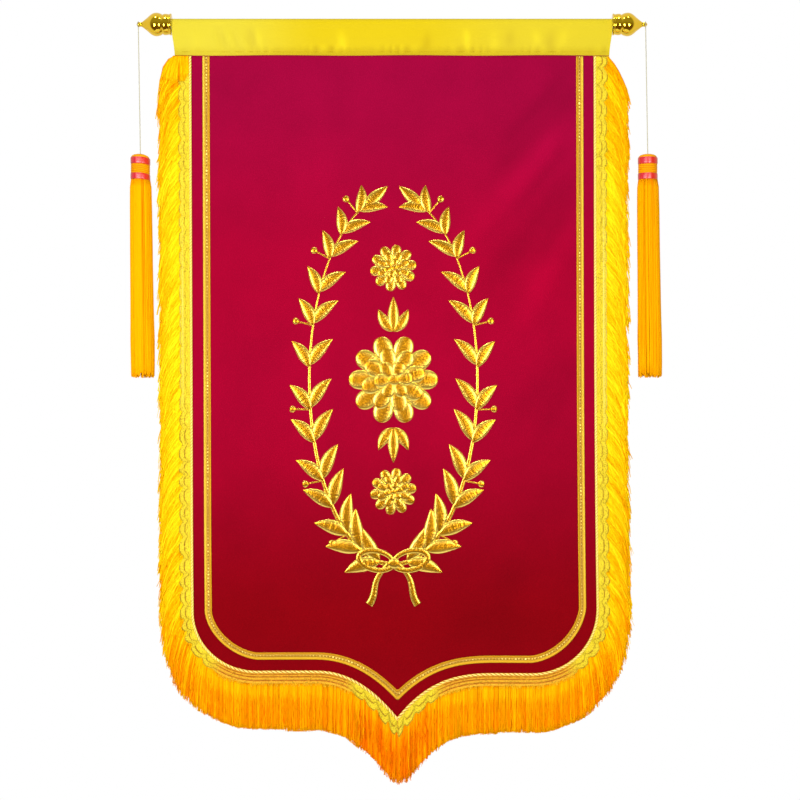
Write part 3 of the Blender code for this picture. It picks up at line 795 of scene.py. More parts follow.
def beside(section, offset, corner_inset):
    """Line beside a section of the seam line; the inset grows to its full size halfway."""
    points = []
    for step, (point, normal) in enumerate(section):
        inset = corner_inset * math.sin(math.pi * step / (len(section) - 1))
        points.append(point + normal * (offset - inset))
    return points


def half_lines(half, offsets, corner_inset=0.0):
    """One half of each line beside the seam line, matched point by point."""
    lines = [[] for _ in offsets]
    for number, (section, count) in enumerate(zip(seam_sections(half), BORDER_COUNTS)):
        for line, offset in zip(lines, offsets):
            points = beside(section, offset, corner_inset if number == 1 else 0.0)
            if number == 3:
                points = meet_centre_line(points)
            line.extend(resample(points, count)[1 if line else 0:])
    return lines


def join_halves(left, right):
    """Whole lines from two halves, from the left top round to the right top."""
    lines = []
    for left_half, right_half in zip(left, right):
        whole = left_half + [Vector((-point.x, point.y)) for point in reversed(right_half[:-1])]
        lines.append(np.array([(point.x + drift(point.y), point.y) for point in whole]))
    return lines


def between(distance, run, first, second, share):
    """Place (x, z) at a distance along two matched lines and a share of the way across."""
    near, far = (follow(distance, run, line) for line in (first, second))
    return near + (far - near) * np.asarray(share)[..., None]


TAPE_OFFSETS = (0.0, TAPE_WIDTH)
SEAM, EDGE = join_halves(half_lines(LEFT_HALF, TAPE_OFFSETS), half_lines(RIGHT_HALF, TAPE_OFFSETS))
EDGE_RUN = run_along(EDGE)
BORDER_LENGTH = float(EDGE_RUN[-1])


def on_border(distance, offset):
    """Place (x, z) at a distance along the tape's outer edge and an offset out from the seam."""
    return between(distance, EDGE_RUN, SEAM, EDGE, np.asarray(offset) / TAPE_WIDTH)


def on_cloth(places, forward):
    """Points (x, y, z) that lie a given distance in front of the cloth's middle."""
    x, z = places[..., 0], places[..., 1]
    return np.stack((x, hang_y(x, z) - forward, z), axis=-1)


print("border:", round(BORDER_LENGTH, 3), "m along its outer edge")

# %% [markdown]
# ## Helpers for meshes
# Thousands of threads would be slow to make one by one, so numpy works out all their points at once. A thread
# or a cord is a tube that follows a path. A cloth is a grid, and a Solidify modifier gives it its thickness.
# All pieces ride on the one body of the banner, and the solids that a piece replaces are hidden.

# %% Mesh helpers
def hang_on_banner(piece, replaced):
    """Let a piece ride on the banner and hide the solids that it replaces."""
    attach(piece, "root")
    if replaced:
        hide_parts(*replaced)


def add_piece(name, points, faces, material, slot, replaced=(), uvs=None):
    """Put a mesh in the scene as a piece that rides on the banner."""
    mesh = bpy.data.meshes.new(name)
    mesh.from_pydata(np.asarray(points).reshape(-1, 3).tolist(), [], faces)
    mesh.update()
    mesh.shade_smooth()
    mesh.materials.append(material)
    if uvs is not None:
        layer = mesh.uv_layers.new(name="along")
        layer.data.foreach_set("uv", np.asarray(uvs, dtype=np.float32).ravel())
    piece = add_object(name, mesh)
    hang_on_banner(piece, replaced)
    return piece


def store(piece, name, values):
    """Store one number at each point of a piece's mesh."""
    layer = piece.data.attributes.new(name=name, type="FLOAT", domain="POINT")
    layer.data.foreach_set("value", np.asarray(values, dtype=np.float32).ravel())


def thicken(piece, thickness):
    """Give a sheet its thickness, half to each side."""
    solidify = piece.modifiers.new("Thickness", "SOLIDIFY")
    solidify.thickness = thickness
    solidify.offset = 0.0


def grid_faces(rows, columns, close_rows=False, first=0):
    """Quads of a grid of points, row by row; close_rows joins each row's end to its start."""
    across = columns if close_rows else columns - 1
    row, column = np.meshgrid(np.arange(rows - 1), np.arange(across), indexing="ij")
    after = (column + 1) % columns
    start = first + row * columns
    quads = np.stack((start + column, start + after, start + columns + after, start + columns + column), -1)
    return quads.reshape(-1, 4)


def end_faces(rows, columns, first=0):
    """Faces that close the first and the last ring of a grid."""
    last = first + rows * columns
    return [list(range(first + columns - 1, first - 1, -1)), list(range(last - columns, last))]


def closed_faces(rows, columns, first=0):
    """Faces of a grid of rings with both of its ends closed."""
    return grid_faces(rows, columns, close_rows=True, first=first).tolist() + end_faces(rows, columns, first)


def ring_uvs(rows, columns, run):
    """Matching face corners of a grid of rings: each ring's run, and around it from 0 to 1."""
    row, column = np.meshgrid(np.arange(rows - 1), np.arange(columns), indexing="ij")
    near, far = run[row], run[row + 1]
    low, high = column / columns, (column + 1) / columns
    return np.stack((near, low, near, high, far, high, far, low), axis=-1).reshape(-1, 2)


def add_rings(name, points, run, material, slot, replaced=()):
    """Closed piece from rings of points; run says where each ring lies along it."""
    rows, columns = points.shape[:2]
    uvs = np.concatenate((ring_uvs(rows, columns, run), np.zeros((2 * columns, 2))))
    return add_piece(name, points, closed_faces(rows, columns), material, slot, replaced, uvs)


print("grids, sheets and rings ready")

# %% Tubes along paths
def tube_points(paths, radii, sides, lobes=None, flatness=1.0):
    """Rings of points round each path; lobes is (turns made up to each stop, plies, depth) of a twist."""
    tangent = to_unit(np.gradient(paths, axis=1))
    aside = to_unit(np.cross(tangent, np.array((0.0, 1.0, 0.0))))
    up = np.cross(tangent, aside)
    turn = math.tau * np.arange(sides) / sides
    radius = np.asarray(radii, dtype=float)[..., None] * np.ones(sides)
    if lobes:
        turned, plies, depth = lobes
        radius = radius * (1.0 + depth * np.cos(plies * (turn - math.tau * turned[:, None])))
    ring = aside[..., None, :] * np.cos(turn)[:, None] + up[..., None, :] * np.sin(turn)[:, None] * flatness
    return paths[..., None, :] + ring * radius[..., None]


def tube_faces(count, stops, sides):
    """Faces of a bundle of tubes, with both ends of each closed."""
    size = stops * sides
    shifts = np.arange(count)[:, None, None] * size
    faces = (grid_faces(stops, sides, close_rows=True)[None] + shifts).reshape(-1, 4).tolist()
    for start in range(0, count * size, size):
        faces.extend(end_faces(stops, sides, start))
    return faces


def tube_uvs(paths, sides):
    """Face corners of a bundle of tubes: metres along each, and 0 to 1 around it."""
    steps = np.linalg.norm(np.diff(paths, axis=1), axis=-1)
    runs = np.concatenate((np.zeros((len(paths), 1)), np.cumsum(steps, axis=1)), axis=1)
    walls = [ring_uvs(paths.shape[1], sides, run) for run in runs]
    ends = [np.tile((run[end], 0.0), (sides, 1)) for run in runs for end in (0, -1)]
    return np.concatenate(walls + ends)


def add_tubes(name, paths, radii, sides, material, slot, replaced=(), lobes=None, flatness=1.0):
    """Bundle of closed tubes as one piece."""
    radii = np.broadcast_to(radii, paths.shape[:2])
    points = tube_points(paths, radii, sides, lobes, flatness)
    faces = tube_faces(*paths.shape[:2], sides)
    return add_piece(name, points, faces, material, slot, replaced, tube_uvs(paths, sides))


def report(piece):
    """Print how many triangles a piece has, with its modifiers."""
    shown = piece.evaluated_get(bpy.context.evaluated_depsgraph_get()).to_mesh()
    print(piece.name, sum(len(face.vertices) - 2 for face in shown.polygons), "triangles")


print("tubes ready")

# %% [markdown]
# ## Strings
# Each tassel hangs on a thin twisted string, tied round the finial's knob. A
# string under a weight is straight, so its route is a plain line, the same as
# its solid's, with a small loop where it goes round the knob.

# %% Strings
KNOB_X = 0.3678
KNOB_RADIUS = 0.0033
STRING_RADIUS = 0.0007
STRING_TOP_Z = -0.0036
STRING_BOTTOM_Z = -0.1874
STRING_SWAY = 0.0030
STRING_POINTS = 24
TWIST_RADIANS = 4200.0
LOOP_STEPS = 20
LOOP_SLACK = 0.0006
LOOP_THINNESS = 0.8
LOOP_SIDES = 6


def make_plain_string():
    """Finish of the strings, whose turns are too fine for the mesh."""
    material, tree = new_material("string_twist", 0.6)
    place = split(tree, in_piece(tree))
    turns = ripple(tree, compute(tree, "ADD", place["X"], place["Z"]), TWIST_RADIANS)
    base = blend(tree, ramp(tree, turns, -1.0, 0.3), colour(160, 152, 120), colour(204, 200, 176))
    return finish(material, base, None, (0.0002, 0.6), turns)


def make_string(side, side_name):
    """String from a knob to its tassel, with its loop."""
    start = Vector((side * KNOB_X, 0.0, STRING_TOP_Z))
    end = Vector((side * KNOB_X + STRING_SWAY, 0.0, STRING_BOTTOM_Z))
    curve = bpy.data.curves.new("string_" + side_name + "_twist", "CURVE")
    curve.dimensions = "3D"
    curve.bevel_depth = STRING_RADIUS
    curve.bevel_resolution = 3
    curve.use_fill_caps = True
    spline = curve.splines.new("POLY")
    spline.points.add(STRING_POINTS - 1)
    for index, point in enumerate(spline.points):
        point.co = (*start.lerp(end, index / (STRING_POINTS - 1)), 1.0)
    curve.materials.append(plain_string)
    string = add_object(curve.name, curve)
    hang_on_banner(string, ("string_" + side_name,))
    turn = np.linspace(0.0, math.tau, LOOP_STEPS + 1)
    radius = LOOP_THINNESS * STRING_RADIUS
    reach = KNOB_RADIUS + radius
    x = start.x + LOOP_SLACK * np.sin(turn)
    loop = np.stack((x, reach * np.sin(turn), -reach * np.cos(turn)), axis=-1)[None]
    name = "string_" + side_name + "_loop"
    add_tubes(name, loop, radius, LOOP_SIDES, cords["cream_string"], "cream_string")
    print(string.name, round((end - start).length * 1000, 1), "mm")


plain_string = make_plain_string()
for side, side_name in ((-1, "left"), (1, "right")):
    make_string(side, side_name)

# %% [markdown]
# ## The velvet panel
# The panel is one sheet. Its solid has the main folds, and this finer sheet follows them and adds closer
# creases that run down from the upper right, where the cloth pulls, and a faint waver that fades out at the
# braid. Placing them one by one as soft ridges and troughs matches the photograph better than a cloth
# simulation would, since a hanging flat panel hardly moves.

# %% Velvet panel
VELVET_COUNTS = (24, 20, 30)
VELVET_ROWS = 110
VELVET_THICKNESS = 0.0016
CREASES = (
    # start x, start z, end x, end z, half width, height
    (0.262, -0.060, 0.150, -0.185, 0.010, -0.0014),
    (0.255, -0.100, 0.110, -0.235, 0.012, 0.0013),
    (0.262, -0.165, 0.180, -0.270, 0.011, -0.0016),
    (0.255, -0.180, 0.070, -0.385, 0.012, -0.0012),
    (0.262, -0.250, 0.205, -0.360, 0.012, -0.0016),
    (0.250, -0.330, 0.170, -0.470, 0.014, 0.0012),
    (0.258, -0.520, 0.190, -0.640, 0.014, -0.0012),
    (0.200, -0.760, 0.110, -0.900, 0.030, -0.0016),
    (-0.100, -0.150, -0.180, -0.420, 0.040, 0.0010),
    (-0.245, -0.240, -0.170, -0.330, 0.018, -0.0008),
)
PAINTED_PILE_PATCHES = (
    #     x, z, half width, half height, how much lighter or darker the patch is painted
    (0.262, -0.075, 0.030, 0.040, -0.55),
    (0.270, -0.330, 0.024, 0.060, -0.35),
    (0.262, -0.520, 0.026, 0.060, -0.45),
    (0.250, -0.690, 0.055, 0.110, -0.50),
    (0.165, -0.880, 0.070, 0.040, -0.55),
    (-0.205, -0.560, 0.045, 0.090, -0.40),
    (-0.230, -0.100, 0.050, 0.060, -0.25),
    (-0.125, -0.520, 0.030, 0.120, 0.45),
    (0.060, -0.560, 0.060, 0.080, 0.35),
    (-0.040, -0.860, 0.060, 0.030, 0.40),
    (-0.265, -0.640, 0.020, 0.120, 0.35),
)
# Fold height that gives the full painted light or shade.
FOLD_SHADE_DEPTH = 0.0032
CREASE_SHARE = 1.3
WAVER_RISE = 0.00025
print("creases:", len(CREASES))

# %% Velvet sheet
def painted_pile_shade(x, z):
    """Painted light and shade of the pile: lighter on the folds' ridges, darker in their troughs, and listed
    lighter and darker patches.
    """
    shade = (fold_height(x, z, FOLDS) + CREASE_SHARE * fold_height(x, z, CREASES)) / FOLD_SHADE_DEPTH
    for at_x, at_z, half_width, half_height, lift in PAINTED_PILE_PATCHES:
        shade = shade + lift * np.exp(-((x - at_x) / half_width) ** 2 - ((z - at_z) / half_height) ** 2)
    return np.clip(shade, -1.0, 1.0)


def velvet_y(x, z):
    """Depth of the velvet: the solid's folds and the closer creases."""
    inside = inside_trim(x, z)
    fine = fold_height(x, z, CREASES) * smooth_step(0.004, 0.022, inside)
    waver = np.sin(23 * x + 11 * z) + np.sin(17 * x - 29 * z + 1.0) + np.sin(41 * z + 3.0)
    return hang_y(x, z) - fine - WAVER_RISE * waver * smooth_step(0.0, 0.03, inside)


def make_velvet_panel():
    """Fine sheet over the panel's solid."""
    halves = []
    for half in (LEFT_HALF, RIGHT_HALF):
        feet = []
        for section, count in zip(seam_sections(half)[1:], VELVET_COUNTS):
            line = [point + normal * PANEL_UNDER_TAPE for point, normal in section]
            if count == VELVET_COUNTS[-1]:
                line = meet_centre_line(line)
            feet.extend(resample(line, count)[1 if feet else 0:])
        halves.append(feet)
    foot = halves[0] + [Vector((-point.x, point.y)) for point in reversed(halves[1][:-1])]
    foot = np.array([tuple(point) for point in foot])
    share = np.arange(VELVET_ROWS + 1)[:, None] / VELVET_ROWS
    z = PANEL_TOP_Z + (foot[None, :, 1] - PANEL_TOP_Z) * share
    x = foot[None, :, 0] + drift(z)
    points = np.stack((x, velvet_y(x, z), z), axis=-1)
    faces = grid_faces(*x.shape)[:, ::-1].tolist()
    panel = add_piece("velvet_panel", points, faces, wine_velvet, "wine_velvet", ("panel",))
    # Painted light and shade of the folds and patches, read by the velvet's colour.
    store(panel, "fold_shade", painted_pile_shade(x, z))
    thicken(panel, VELVET_THICKNESS)
    return panel


velvet_panel = make_velvet_panel()
report(velvet_panel)

# %% [markdown]
# ## The satin heading
# The heading is one strip of satin folded over the rod, its two hems sewn to
# the velvet. Between rod and hem it hangs free, with soft slanting wrinkles
# where the cloth pulls, and small puckers along the stitches.

# %% Satin heading
HEADING_HALF_TOP = 0.3194
HEADING_HALF_HEM = 0.3149
HEADING_HEM_Z = -0.045
HEADING_RADIUS = 0.0078
HEM_DEPTH = 0.0018
SATIN_THICKNESS = 0.0008
SATIN_LEG_ROWS = 15
SATIN_ARC_ROWS = 18
SATIN_COLUMNS = 170
STITCH_Z = -0.0400
STITCH_STEP = 0.0034
STITCH_LENGTH = 0.0026
STITCH_RADIUS = 0.00035
STITCH_SIDES = 5
STITCH_MARGIN = 0.003
STITCH_CLEAR = 0.0006
STITCH_SHADE = -0.6
WRINKLES = (
    # x at the rod, x at the hem, half width, height, where it is highest from rod 0 to hem 1
    (-0.254, -0.240, 0.0050, -0.0018, 0.5),
    (-0.243, -0.229, 0.0042, 0.0012, 0.5),
    (-0.232, -0.222, 0.0036, -0.0009, 0.6),
    (-0.208, -0.200, 0.0060, -0.0017, 0.5),
    (-0.196, -0.190, 0.0050, 0.0009, 0.5),
    (-0.290, -0.280, 0.0080, 0.0008, 0.7),
    (-0.075, -0.070, 0.0060, 0.0006, 0.7),
    (0.052, 0.050, 0.0060, -0.0004, 0.7),
    (0.107, 0.110, 0.0045, 0.0007, 0.5),
    (0.146, 0.150, 0.0060, 0.0005, 0.7),
    (0.172, 0.170, 0.0070, -0.0005, 0.5),
    (0.207, 0.212, 0.0060, 0.0006, 0.5),
    (0.232, 0.226, 0.0070, -0.0006, 0.6),
    (0.250, 0.246, 0.0060, 0.0005, 0.5),
)
WRINKLE_SHADE_HEIGHT = 0.0014
PUCKER_RISE = 0.0005
LEG_FULLNESS = 0.0012
BACK_SHARE = 0.6
HEM_WAVE = 0.0004
print("wrinkles:", len(WRINKLES))

# %% Satin sleeve and its stitches
def heading_section():
    """Middle line of the sleeve from the front hem over the rod to the back hem, as (y, z)."""
    hem = Vector((-HEM_DEPTH, HEADING_HEM_Z))
    leave = math.atan2(hem.y, hem.x) - math.acos(HEADING_RADIUS / hem.length)
    touch = Vector((math.cos(leave), math.sin(leave))) * HEADING_RADIUS
    front = [hem.lerp(touch, row / SATIN_LEG_ROWS) for row in range(SATIN_LEG_ROWS)]
    sweep = 3.0 * math.pi + 2.0 * leave
    arc = []
    for row in range(SATIN_ARC_ROWS + 1):
        angle = leave - sweep * row / SATIN_ARC_ROWS
        arc.append(Vector((math.cos(angle), math.sin(angle))) * HEADING_RADIUS)
    back = [Vector((-point.x, point.y)) for point in reversed(front)]
    return np.array([tuple(point) for point in front + arc + back])


def sharpen_border(piece):
    """Keep the shading crisp where a cloth ends."""
    mesh = piece.data
    corner_edges = np.zeros(len(mesh.loops), dtype=np.int32)
    mesh.loops.foreach_get("edge_index", corner_edges)
    uses = np.bincount(corner_edges, minlength=len(mesh.edges))
    sharp = mesh.attributes.new(name="sharp_edge", type="BOOLEAN", domain="EDGE")
    sharp.data.foreach_set("value", uses < 2)


def make_satin_heading():
    """Fine sleeve with its wrinkles."""
    section = heading_section()
    height = section[:, 1][:, None]
    down = np.clip(height / HEADING_HEM_Z, 0.0, 1.0)
    half = HEADING_HALF_TOP + (HEADING_HALF_HEM - HEADING_HALF_TOP) * smooth_step(0.0, 1.0, down)
    x = half * np.linspace(-1.0, 1.0, SATIN_COLUMNS)[None, :]
    bulge = np.zeros_like(x)
    for at_rod, at_hem, half_width, rise, peak in WRINKLES:
        line = at_rod + (at_hem - at_rod) * down
        window = smooth_step(0.02, peak, down) * smooth_step(1.0, peak, down)
        bulge = bulge + rise * window * np.exp(-((x - line) / half_width) ** 2)
    near_hem = smooth_step(0.60, 0.84, down) * smooth_step(1.0, 0.9, down)
    pucker = np.sin(x * 430 + 2.0 * np.sin(x * 97)) * (0.5 + 0.5 * np.sin(x * 61 + 1.0))
    bulge = bulge + PUCKER_RISE * pucker * near_hem
    # Painted shade of the wrinkles: their height becomes a lighter or darker colour.
    tone = np.clip(bulge / WRINKLE_SHADE_HEIGHT, -1.0, 1.0)
    bulge = bulge + LEG_FULLNESS * smooth_step(0.1, 0.5, down) * smooth_step(1.0, 0.7, down)
    side = np.sign(section[:, 0])[:, None]
    y = section[:, 0][:, None] + side * bulge * np.where(side < 0, 1.0, BACK_SHARE)
    z = height + HEM_WAVE * np.sin(x * 33 + 0.6) * smooth_step(0.8, 1.0, down)
    points = np.stack((x, y, z), axis=-1)
    heading = add_piece(
        "satin_heading", points, grid_faces(*x.shape).tolist(), yellow_satin, "yellow_satin", ("heading",))
    store(heading, "fold_shade", tone)
    # Painted sheen on the left and right parts of the sleeve.
    painted_sheen = 0.9 * smooth_step(-0.10, -0.24, x) + 0.45 * smooth_step(0.02, 0.20, x) + 0 * down
    store(heading, "painted_sheen", painted_sheen)
    # Painted shade towards the hem, weaker under the painted sheen.
    store(heading, "foot", 0.85 * smooth_step(0.66, 1.0, down) * (1.0 - 0.6 * painted_sheen))
    sharpen_border(heading)
    thicken(heading, SATIN_THICKNESS)
    return heading


def make_heading_stitches():
    """Row of small stitches on both faces, just above the hem."""
    first = np.arange(-HEADING_HALF_HEM + STITCH_MARGIN, HEADING_HALF_HEM - STITCH_MARGIN, STITCH_STEP)
    x = first[:, None] + STITCH_LENGTH * np.array((0.0, 0.25, 0.75, 1.0))
    lift = STITCH_RADIUS * np.array((-1.0, 1.0, 1.0, -1.0))
    faces = []
    for face in (-1.0, 1.0):
        y = face * (HEM_DEPTH + SATIN_THICKNESS / 2 + STITCH_CLEAR + lift)
        faces.append(np.stack((x, y + 0.0 * x, np.full_like(x, STITCH_Z)), axis=-1))
    paths = np.concatenate(faces)
    stitches = add_tubes(
        "heading_stitches", paths, STITCH_RADIUS, STITCH_SIDES, yellow_satin, "yellow_satin")
    # Painted shade: the stitches get a dark value of the satin's painted wrinkle shade.
    store(stitches, "fold_shade", np.full(len(stitches.data.vertices), STITCH_SHADE))
    return stitches


satin_heading = make_satin_heading()
heading_stitches = make_heading_stitches()
report(satin_heading)
report(heading_stitches)

# %% [markdown]
# ## The braid that carries the fringe
# The braid is a narrow tape with a twisted cream cord on its inner edge, fine
# cords side by side, and two cords that wander in scallops over its outer part.
# Only the twisted cord is a tube; the others lie so close that they are ridges
# of one strip along the border. The scallops lean: they turn inward quickly and
# drift outward slowly, as the braiding machine lays them.

# %% Braid
FRINGE_PIECE = ("gold_thread", ("fringe",))
TAPE_BACK = 0.0013
TAPE_FRONT = 0.0019
BRAID_ROWS = 1200
CORD_LOW = 0.0024
CORD_HIGH = 0.0035
EDGE_CORD = 0.0016
EDGE_PITCH = {"sides": 0.0045, "hem": 0.0068}
EDGE_STOPS_PER_TURN = 6
EDGE_SIDES = 8
EDGE_PLIES = 2
EDGE_PLY_DEPTH = 0.16
EDGE_RISE = 0.0014
SCALLOP_PITCH = 0.0233
SCALLOP_LEAN = 0.13
SCALLOP_UNEVENNESS = 0.22
GROOVES = (
    # on the sides: inner and outer reach; along the hem: its straight place
    (0.0068, 0.0122, 0.0087),
    (0.0140, 0.0194, 0.0140),
)
LIVELY_HEIGHTS = (-0.78, -0.60, -0.54, -0.40, -0.31, -0.12, -0.05)
LIVELY = {
    # side: how boldly the scallops are drawn at those heights
    -1: (1.0, 0.90, 0.45, 0.30, 0.50, 0.70, 0.70),
    1: (0.90, 0.60, 0.25, 0.10, 0.35, 0.85, 1.0),
}
WANDER_BESIDE_TIP = 0.14
PALE_CORDS = (0.0137, 0.0174)
PALE_WIDTH = 0.0007
BRAID_RIM = (0.0016, 0.0050)
CORDS_BETWEEN = (4, 4, 3)
HEM_GAPS = (0.0030, 0.0050, 0.0087, 0.0140, 0.0192)
HEM_CORD_HIGH = 0.0042
HEM_GAP_WIDTH = 0.0009
LOOP_PITCH = 0.0036
LOOP_CORD = 0.00042
LOOP_CORD_SIDES = 5
LOOPS_KEPT = 0.7
LOOP_HEIGHTS = (0.0034, 0.0068)
LOOP_HALF_WIDTH = 0.001
LOOP_ROOT = 0.0026
LOOP_RISE = 0.0009
LOOP_SHAPE = (
    # place along the hem, outward and forward, as shares of the loop's width, height and rise
    (-0.7, 0.0, 0.0), (-1.2, 0.5, 0.5), (-0.7, 0.95, 0.9), (0.3, 1.0, 1.0),
    (1.1, 0.7, 0.8), (1.0, 0.3, 0.4), (0.5, 0.0, 0.0),
)
print("scallops every", SCALLOP_PITCH * 1000, "mm")

# %% Where the scallops run
def border_normal(distance):
    """Outward direction of the braid at a distance along it."""
    across = on_border(distance, TAPE_WIDTH) - on_border(distance, 0.0)
    return to_unit(across)


def steepness(distance):
    """How steeply the border runs: 1 on the sides and 0 along the flat hem."""
    ahead, behind = (on_border(distance + step, 0.0) for step in (0.002, -0.002))
    run = ahead - behind
    return np.abs(run[..., 1]) / np.linalg.norm(run, axis=-1)


def wander(distance):
    """How far the grooves wander: 1 on the sides and beside the tip, 0 along the flat hem."""
    steep = steepness(distance)
    beside_tip = np.abs(on_border(distance, 0.0)[..., 0]) < WANDER_BESIDE_TIP
    return np.maximum(smooth_step(0.42, 0.70, steep), smooth_step(0.32, 0.50, steep) * beside_tip)


def liveliness(distance):
    """How boldly the scallops are drawn: halfway down the sides they are nearly straight."""
    place = on_border(distance, 0.0)
    left, right = (np.interp(place[..., 1], LIVELY_HEIGHTS, LIVELY[side]) for side in (-1, 1))
    return np.where(place[..., 0] < 0.0, left, right)


def groove_offset(distance, number):
    """Offset of one of the two grooves: it turns inward quickly and drifts outward slowly."""
    inner, outer, straight = GROOVES[number]
    phase = distance / SCALLOP_PITCH + 0.16 * np.sin(distance * 31.0) + 0.09 * np.sin(distance * 83.0)
    lean = phase + SCALLOP_LEAN * np.sin(math.tau * phase)
    reach = (1.0 + SCALLOP_UNEVENNESS * np.sin(distance * 53.0 + number)) * liveliness(distance)
    scallop = (inner + outer) / 2 - (outer - inner) / 2 * reach * np.cos(math.tau * lean)
    return straight + (scallop - straight) * wander(distance)


def groove_bulge(distance, number):
    """Where a wandering groove is: 0 at its inner turns and 1 at its outer ones."""
    inner, outer, _ = GROOVES[number]
    return np.clip((groove_offset(distance, number) - inner) / (outer - inner), 0.0, 1.0)


def braid_limits(distance):
    """Offsets that part the braid into bands, from its twisted edge to its rim."""
    outer = groove_offset(distance, 1)
    rim = outer + BRAID_RIM[1] + (BRAID_RIM[0] - BRAID_RIM[1]) * wander(distance)
    return (np.full_like(distance, 2 * EDGE_CORD - 0.0003), groove_offset(distance, 0), outer, rim)


print("grooves:", len(GROOVES), "bands of cords:", len(CORDS_BETWEEN))

# %% Pieces of the braid
def make_tape():
    """Flat woven ground that the threads are caught in."""
    distance = np.linspace(0.0, BORDER_LENGTH, BRAID_ROWS // 4)
    sections = []
    outer, inner = TAPE_WIDTH, 0.0
    corners = ((outer, TAPE_BACK), (outer, TAPE_FRONT), (inner, TAPE_FRONT), (inner, TAPE_BACK))
    for offset, forward in corners:
        sections.append(on_cloth(on_border(distance, offset), forward))
    points = np.stack(sections, axis=1)
    return add_rings("braid_tape", points, distance, cords["braid_loop"], *FRINGE_PIECE)


def side_columns(distance):
    """Offsets, heights and painted groove shadow of the fine cords that lie between the wandering grooves."""
    limits = braid_limits(distance)
    lively = np.sqrt(liveliness(distance))
    columns = [(limits[0], CORD_LOW, 0.0)]
    for band, (cords, low, high) in enumerate(zip(CORDS_BETWEEN, limits[:-1], limits[1:])):
        last = 2 * cords
        bulge = smooth_step(0.3, 0.9, groove_bulge(distance, min(band, 1)))
        bulge_before = smooth_step(0.3, 0.9, groove_bulge(distance, max(band - 1, 0)))
        for step in range(1, last + 1):
            # Painted shadow of each column, strongest beside the outer bulges.
            dark = 0.0 if step % 2 else 0.06
            if step == last and band < 2:
                dark = (0.75 + 0.25 * bulge) * lively
            if step == last - 1 and band < 2:
                dark = 0.22 * bulge * lively
            if step == 1 and band > 0:
                dark = 0.22 * bulge_before * lively
            columns.append((low + (high - low) * step / last, CORD_HIGH if step % 2 else CORD_LOW, dark))
    return columns


def hem_relief(offset):
    """Height of the three fat cords that run straight along the hem, and the painted shade in the gaps
    between them.
    """
    height = np.full_like(offset, CORD_LOW)
    for low, high in zip(HEM_GAPS, HEM_GAPS[1:]):
        share = np.clip((offset - low) / (high - low), 0.0, 1.0)
        height = np.maximum(height, CORD_LOW + (HEM_CORD_HIGH - CORD_LOW) * np.sin(math.pi * share) ** 0.7)
    groove = sum(np.exp(-((offset - gap) / HEM_GAP_WIDTH) ** 2) for gap in HEM_GAPS[1:])
    return height, np.clip(groove, 0.0, 1.0)


def make_braid_strip():
    """Cords of the braid side by side, as ridges of one strip."""
    distance = np.linspace(0.0, BORDER_LENGTH, BRAID_ROWS)
    roam = wander(distance)
    straight = roam * (1.0 - smooth_step(0.1, 0.7, liveliness(distance)))
    columns, grooves, pales = [], [], []
    for offset, side_height, side_groove in side_columns(distance):
        hem_height, hem_groove = hem_relief(offset)
        height = hem_height + (side_height - hem_height) * roam
        columns.append(on_cloth(on_border(distance, offset), height))
        grooves.append(hem_groove + (side_groove - hem_groove) * roam)
        pales.append(straight * sum(np.exp(-((offset - cord) / PALE_WIDTH) ** 2) for cord in PALE_CORDS))
    limits = braid_limits(distance)
    columns.insert(0, on_cloth(on_border(distance, limits[0]), TAPE_BACK))
    columns.append(on_cloth(on_border(distance, limits[-1]), TAPE_BACK))
    for values, last in ((grooves, 0.2), (pales, 0.0)):
        values.insert(0, 0.0 * distance)
        values.append(last + 0.0 * distance)
    strip = add_rings(
        "braid_cords", np.stack(columns[::-1], axis=1), distance, braid_face, *FRINGE_PIECE)
    # Painted shadow in the grooves, read by the braid's colour.
    store(strip, "groove", np.stack(grooves[::-1], axis=1))
    store(strip, "pale", np.stack(pales[::-1], axis=1))
    store(strip, "hem", np.repeat(1.0 - roam[:, None], len(columns), axis=1))
    return strip


def make_braid_edge():
    """Twisted cord on the braid's inner edge, with longer turns along the hem."""
    count = int(BORDER_LENGTH / EDGE_PITCH["sides"] * EDGE_STOPS_PER_TURN)
    distance = np.linspace(0.0, BORDER_LENGTH, count)
    flat = 1.0 - smooth_step(0.30, 0.75, np.abs(border_normal(distance)[:, 0]))
    pitch = EDGE_PITCH["sides"] + (EDGE_PITCH["hem"] - EDGE_PITCH["sides"]) * flat
    seam_steps = np.hypot(*np.diff(on_border(distance, 0.0), axis=0).T)
    turned = np.concatenate(([0.0], np.cumsum(seam_steps / pitch[1:]))) / EDGE_PLIES
    path = on_cloth(on_border(distance, EDGE_CORD), TAPE_FRONT + EDGE_RISE)[None]
    cord = add_tubes(
        "braid_edge_cord", path, EDGE_CORD, EDGE_SIDES, braid_edge, *FRINGE_PIECE,
        (turned, EDGE_PLIES, EDGE_PLY_DEPTH))
    turn = math.tau * np.arange(EDGE_SIDES) / EDGE_SIDES
    store(cord, "crown", 0.5 + 0.5 * np.cos(EDGE_PLIES * (turn[None, :] - math.tau * turned[:, None])))
    store(cord, "hem", np.repeat(flat[:, None], EDGE_SIDES, axis=1))
    return cord


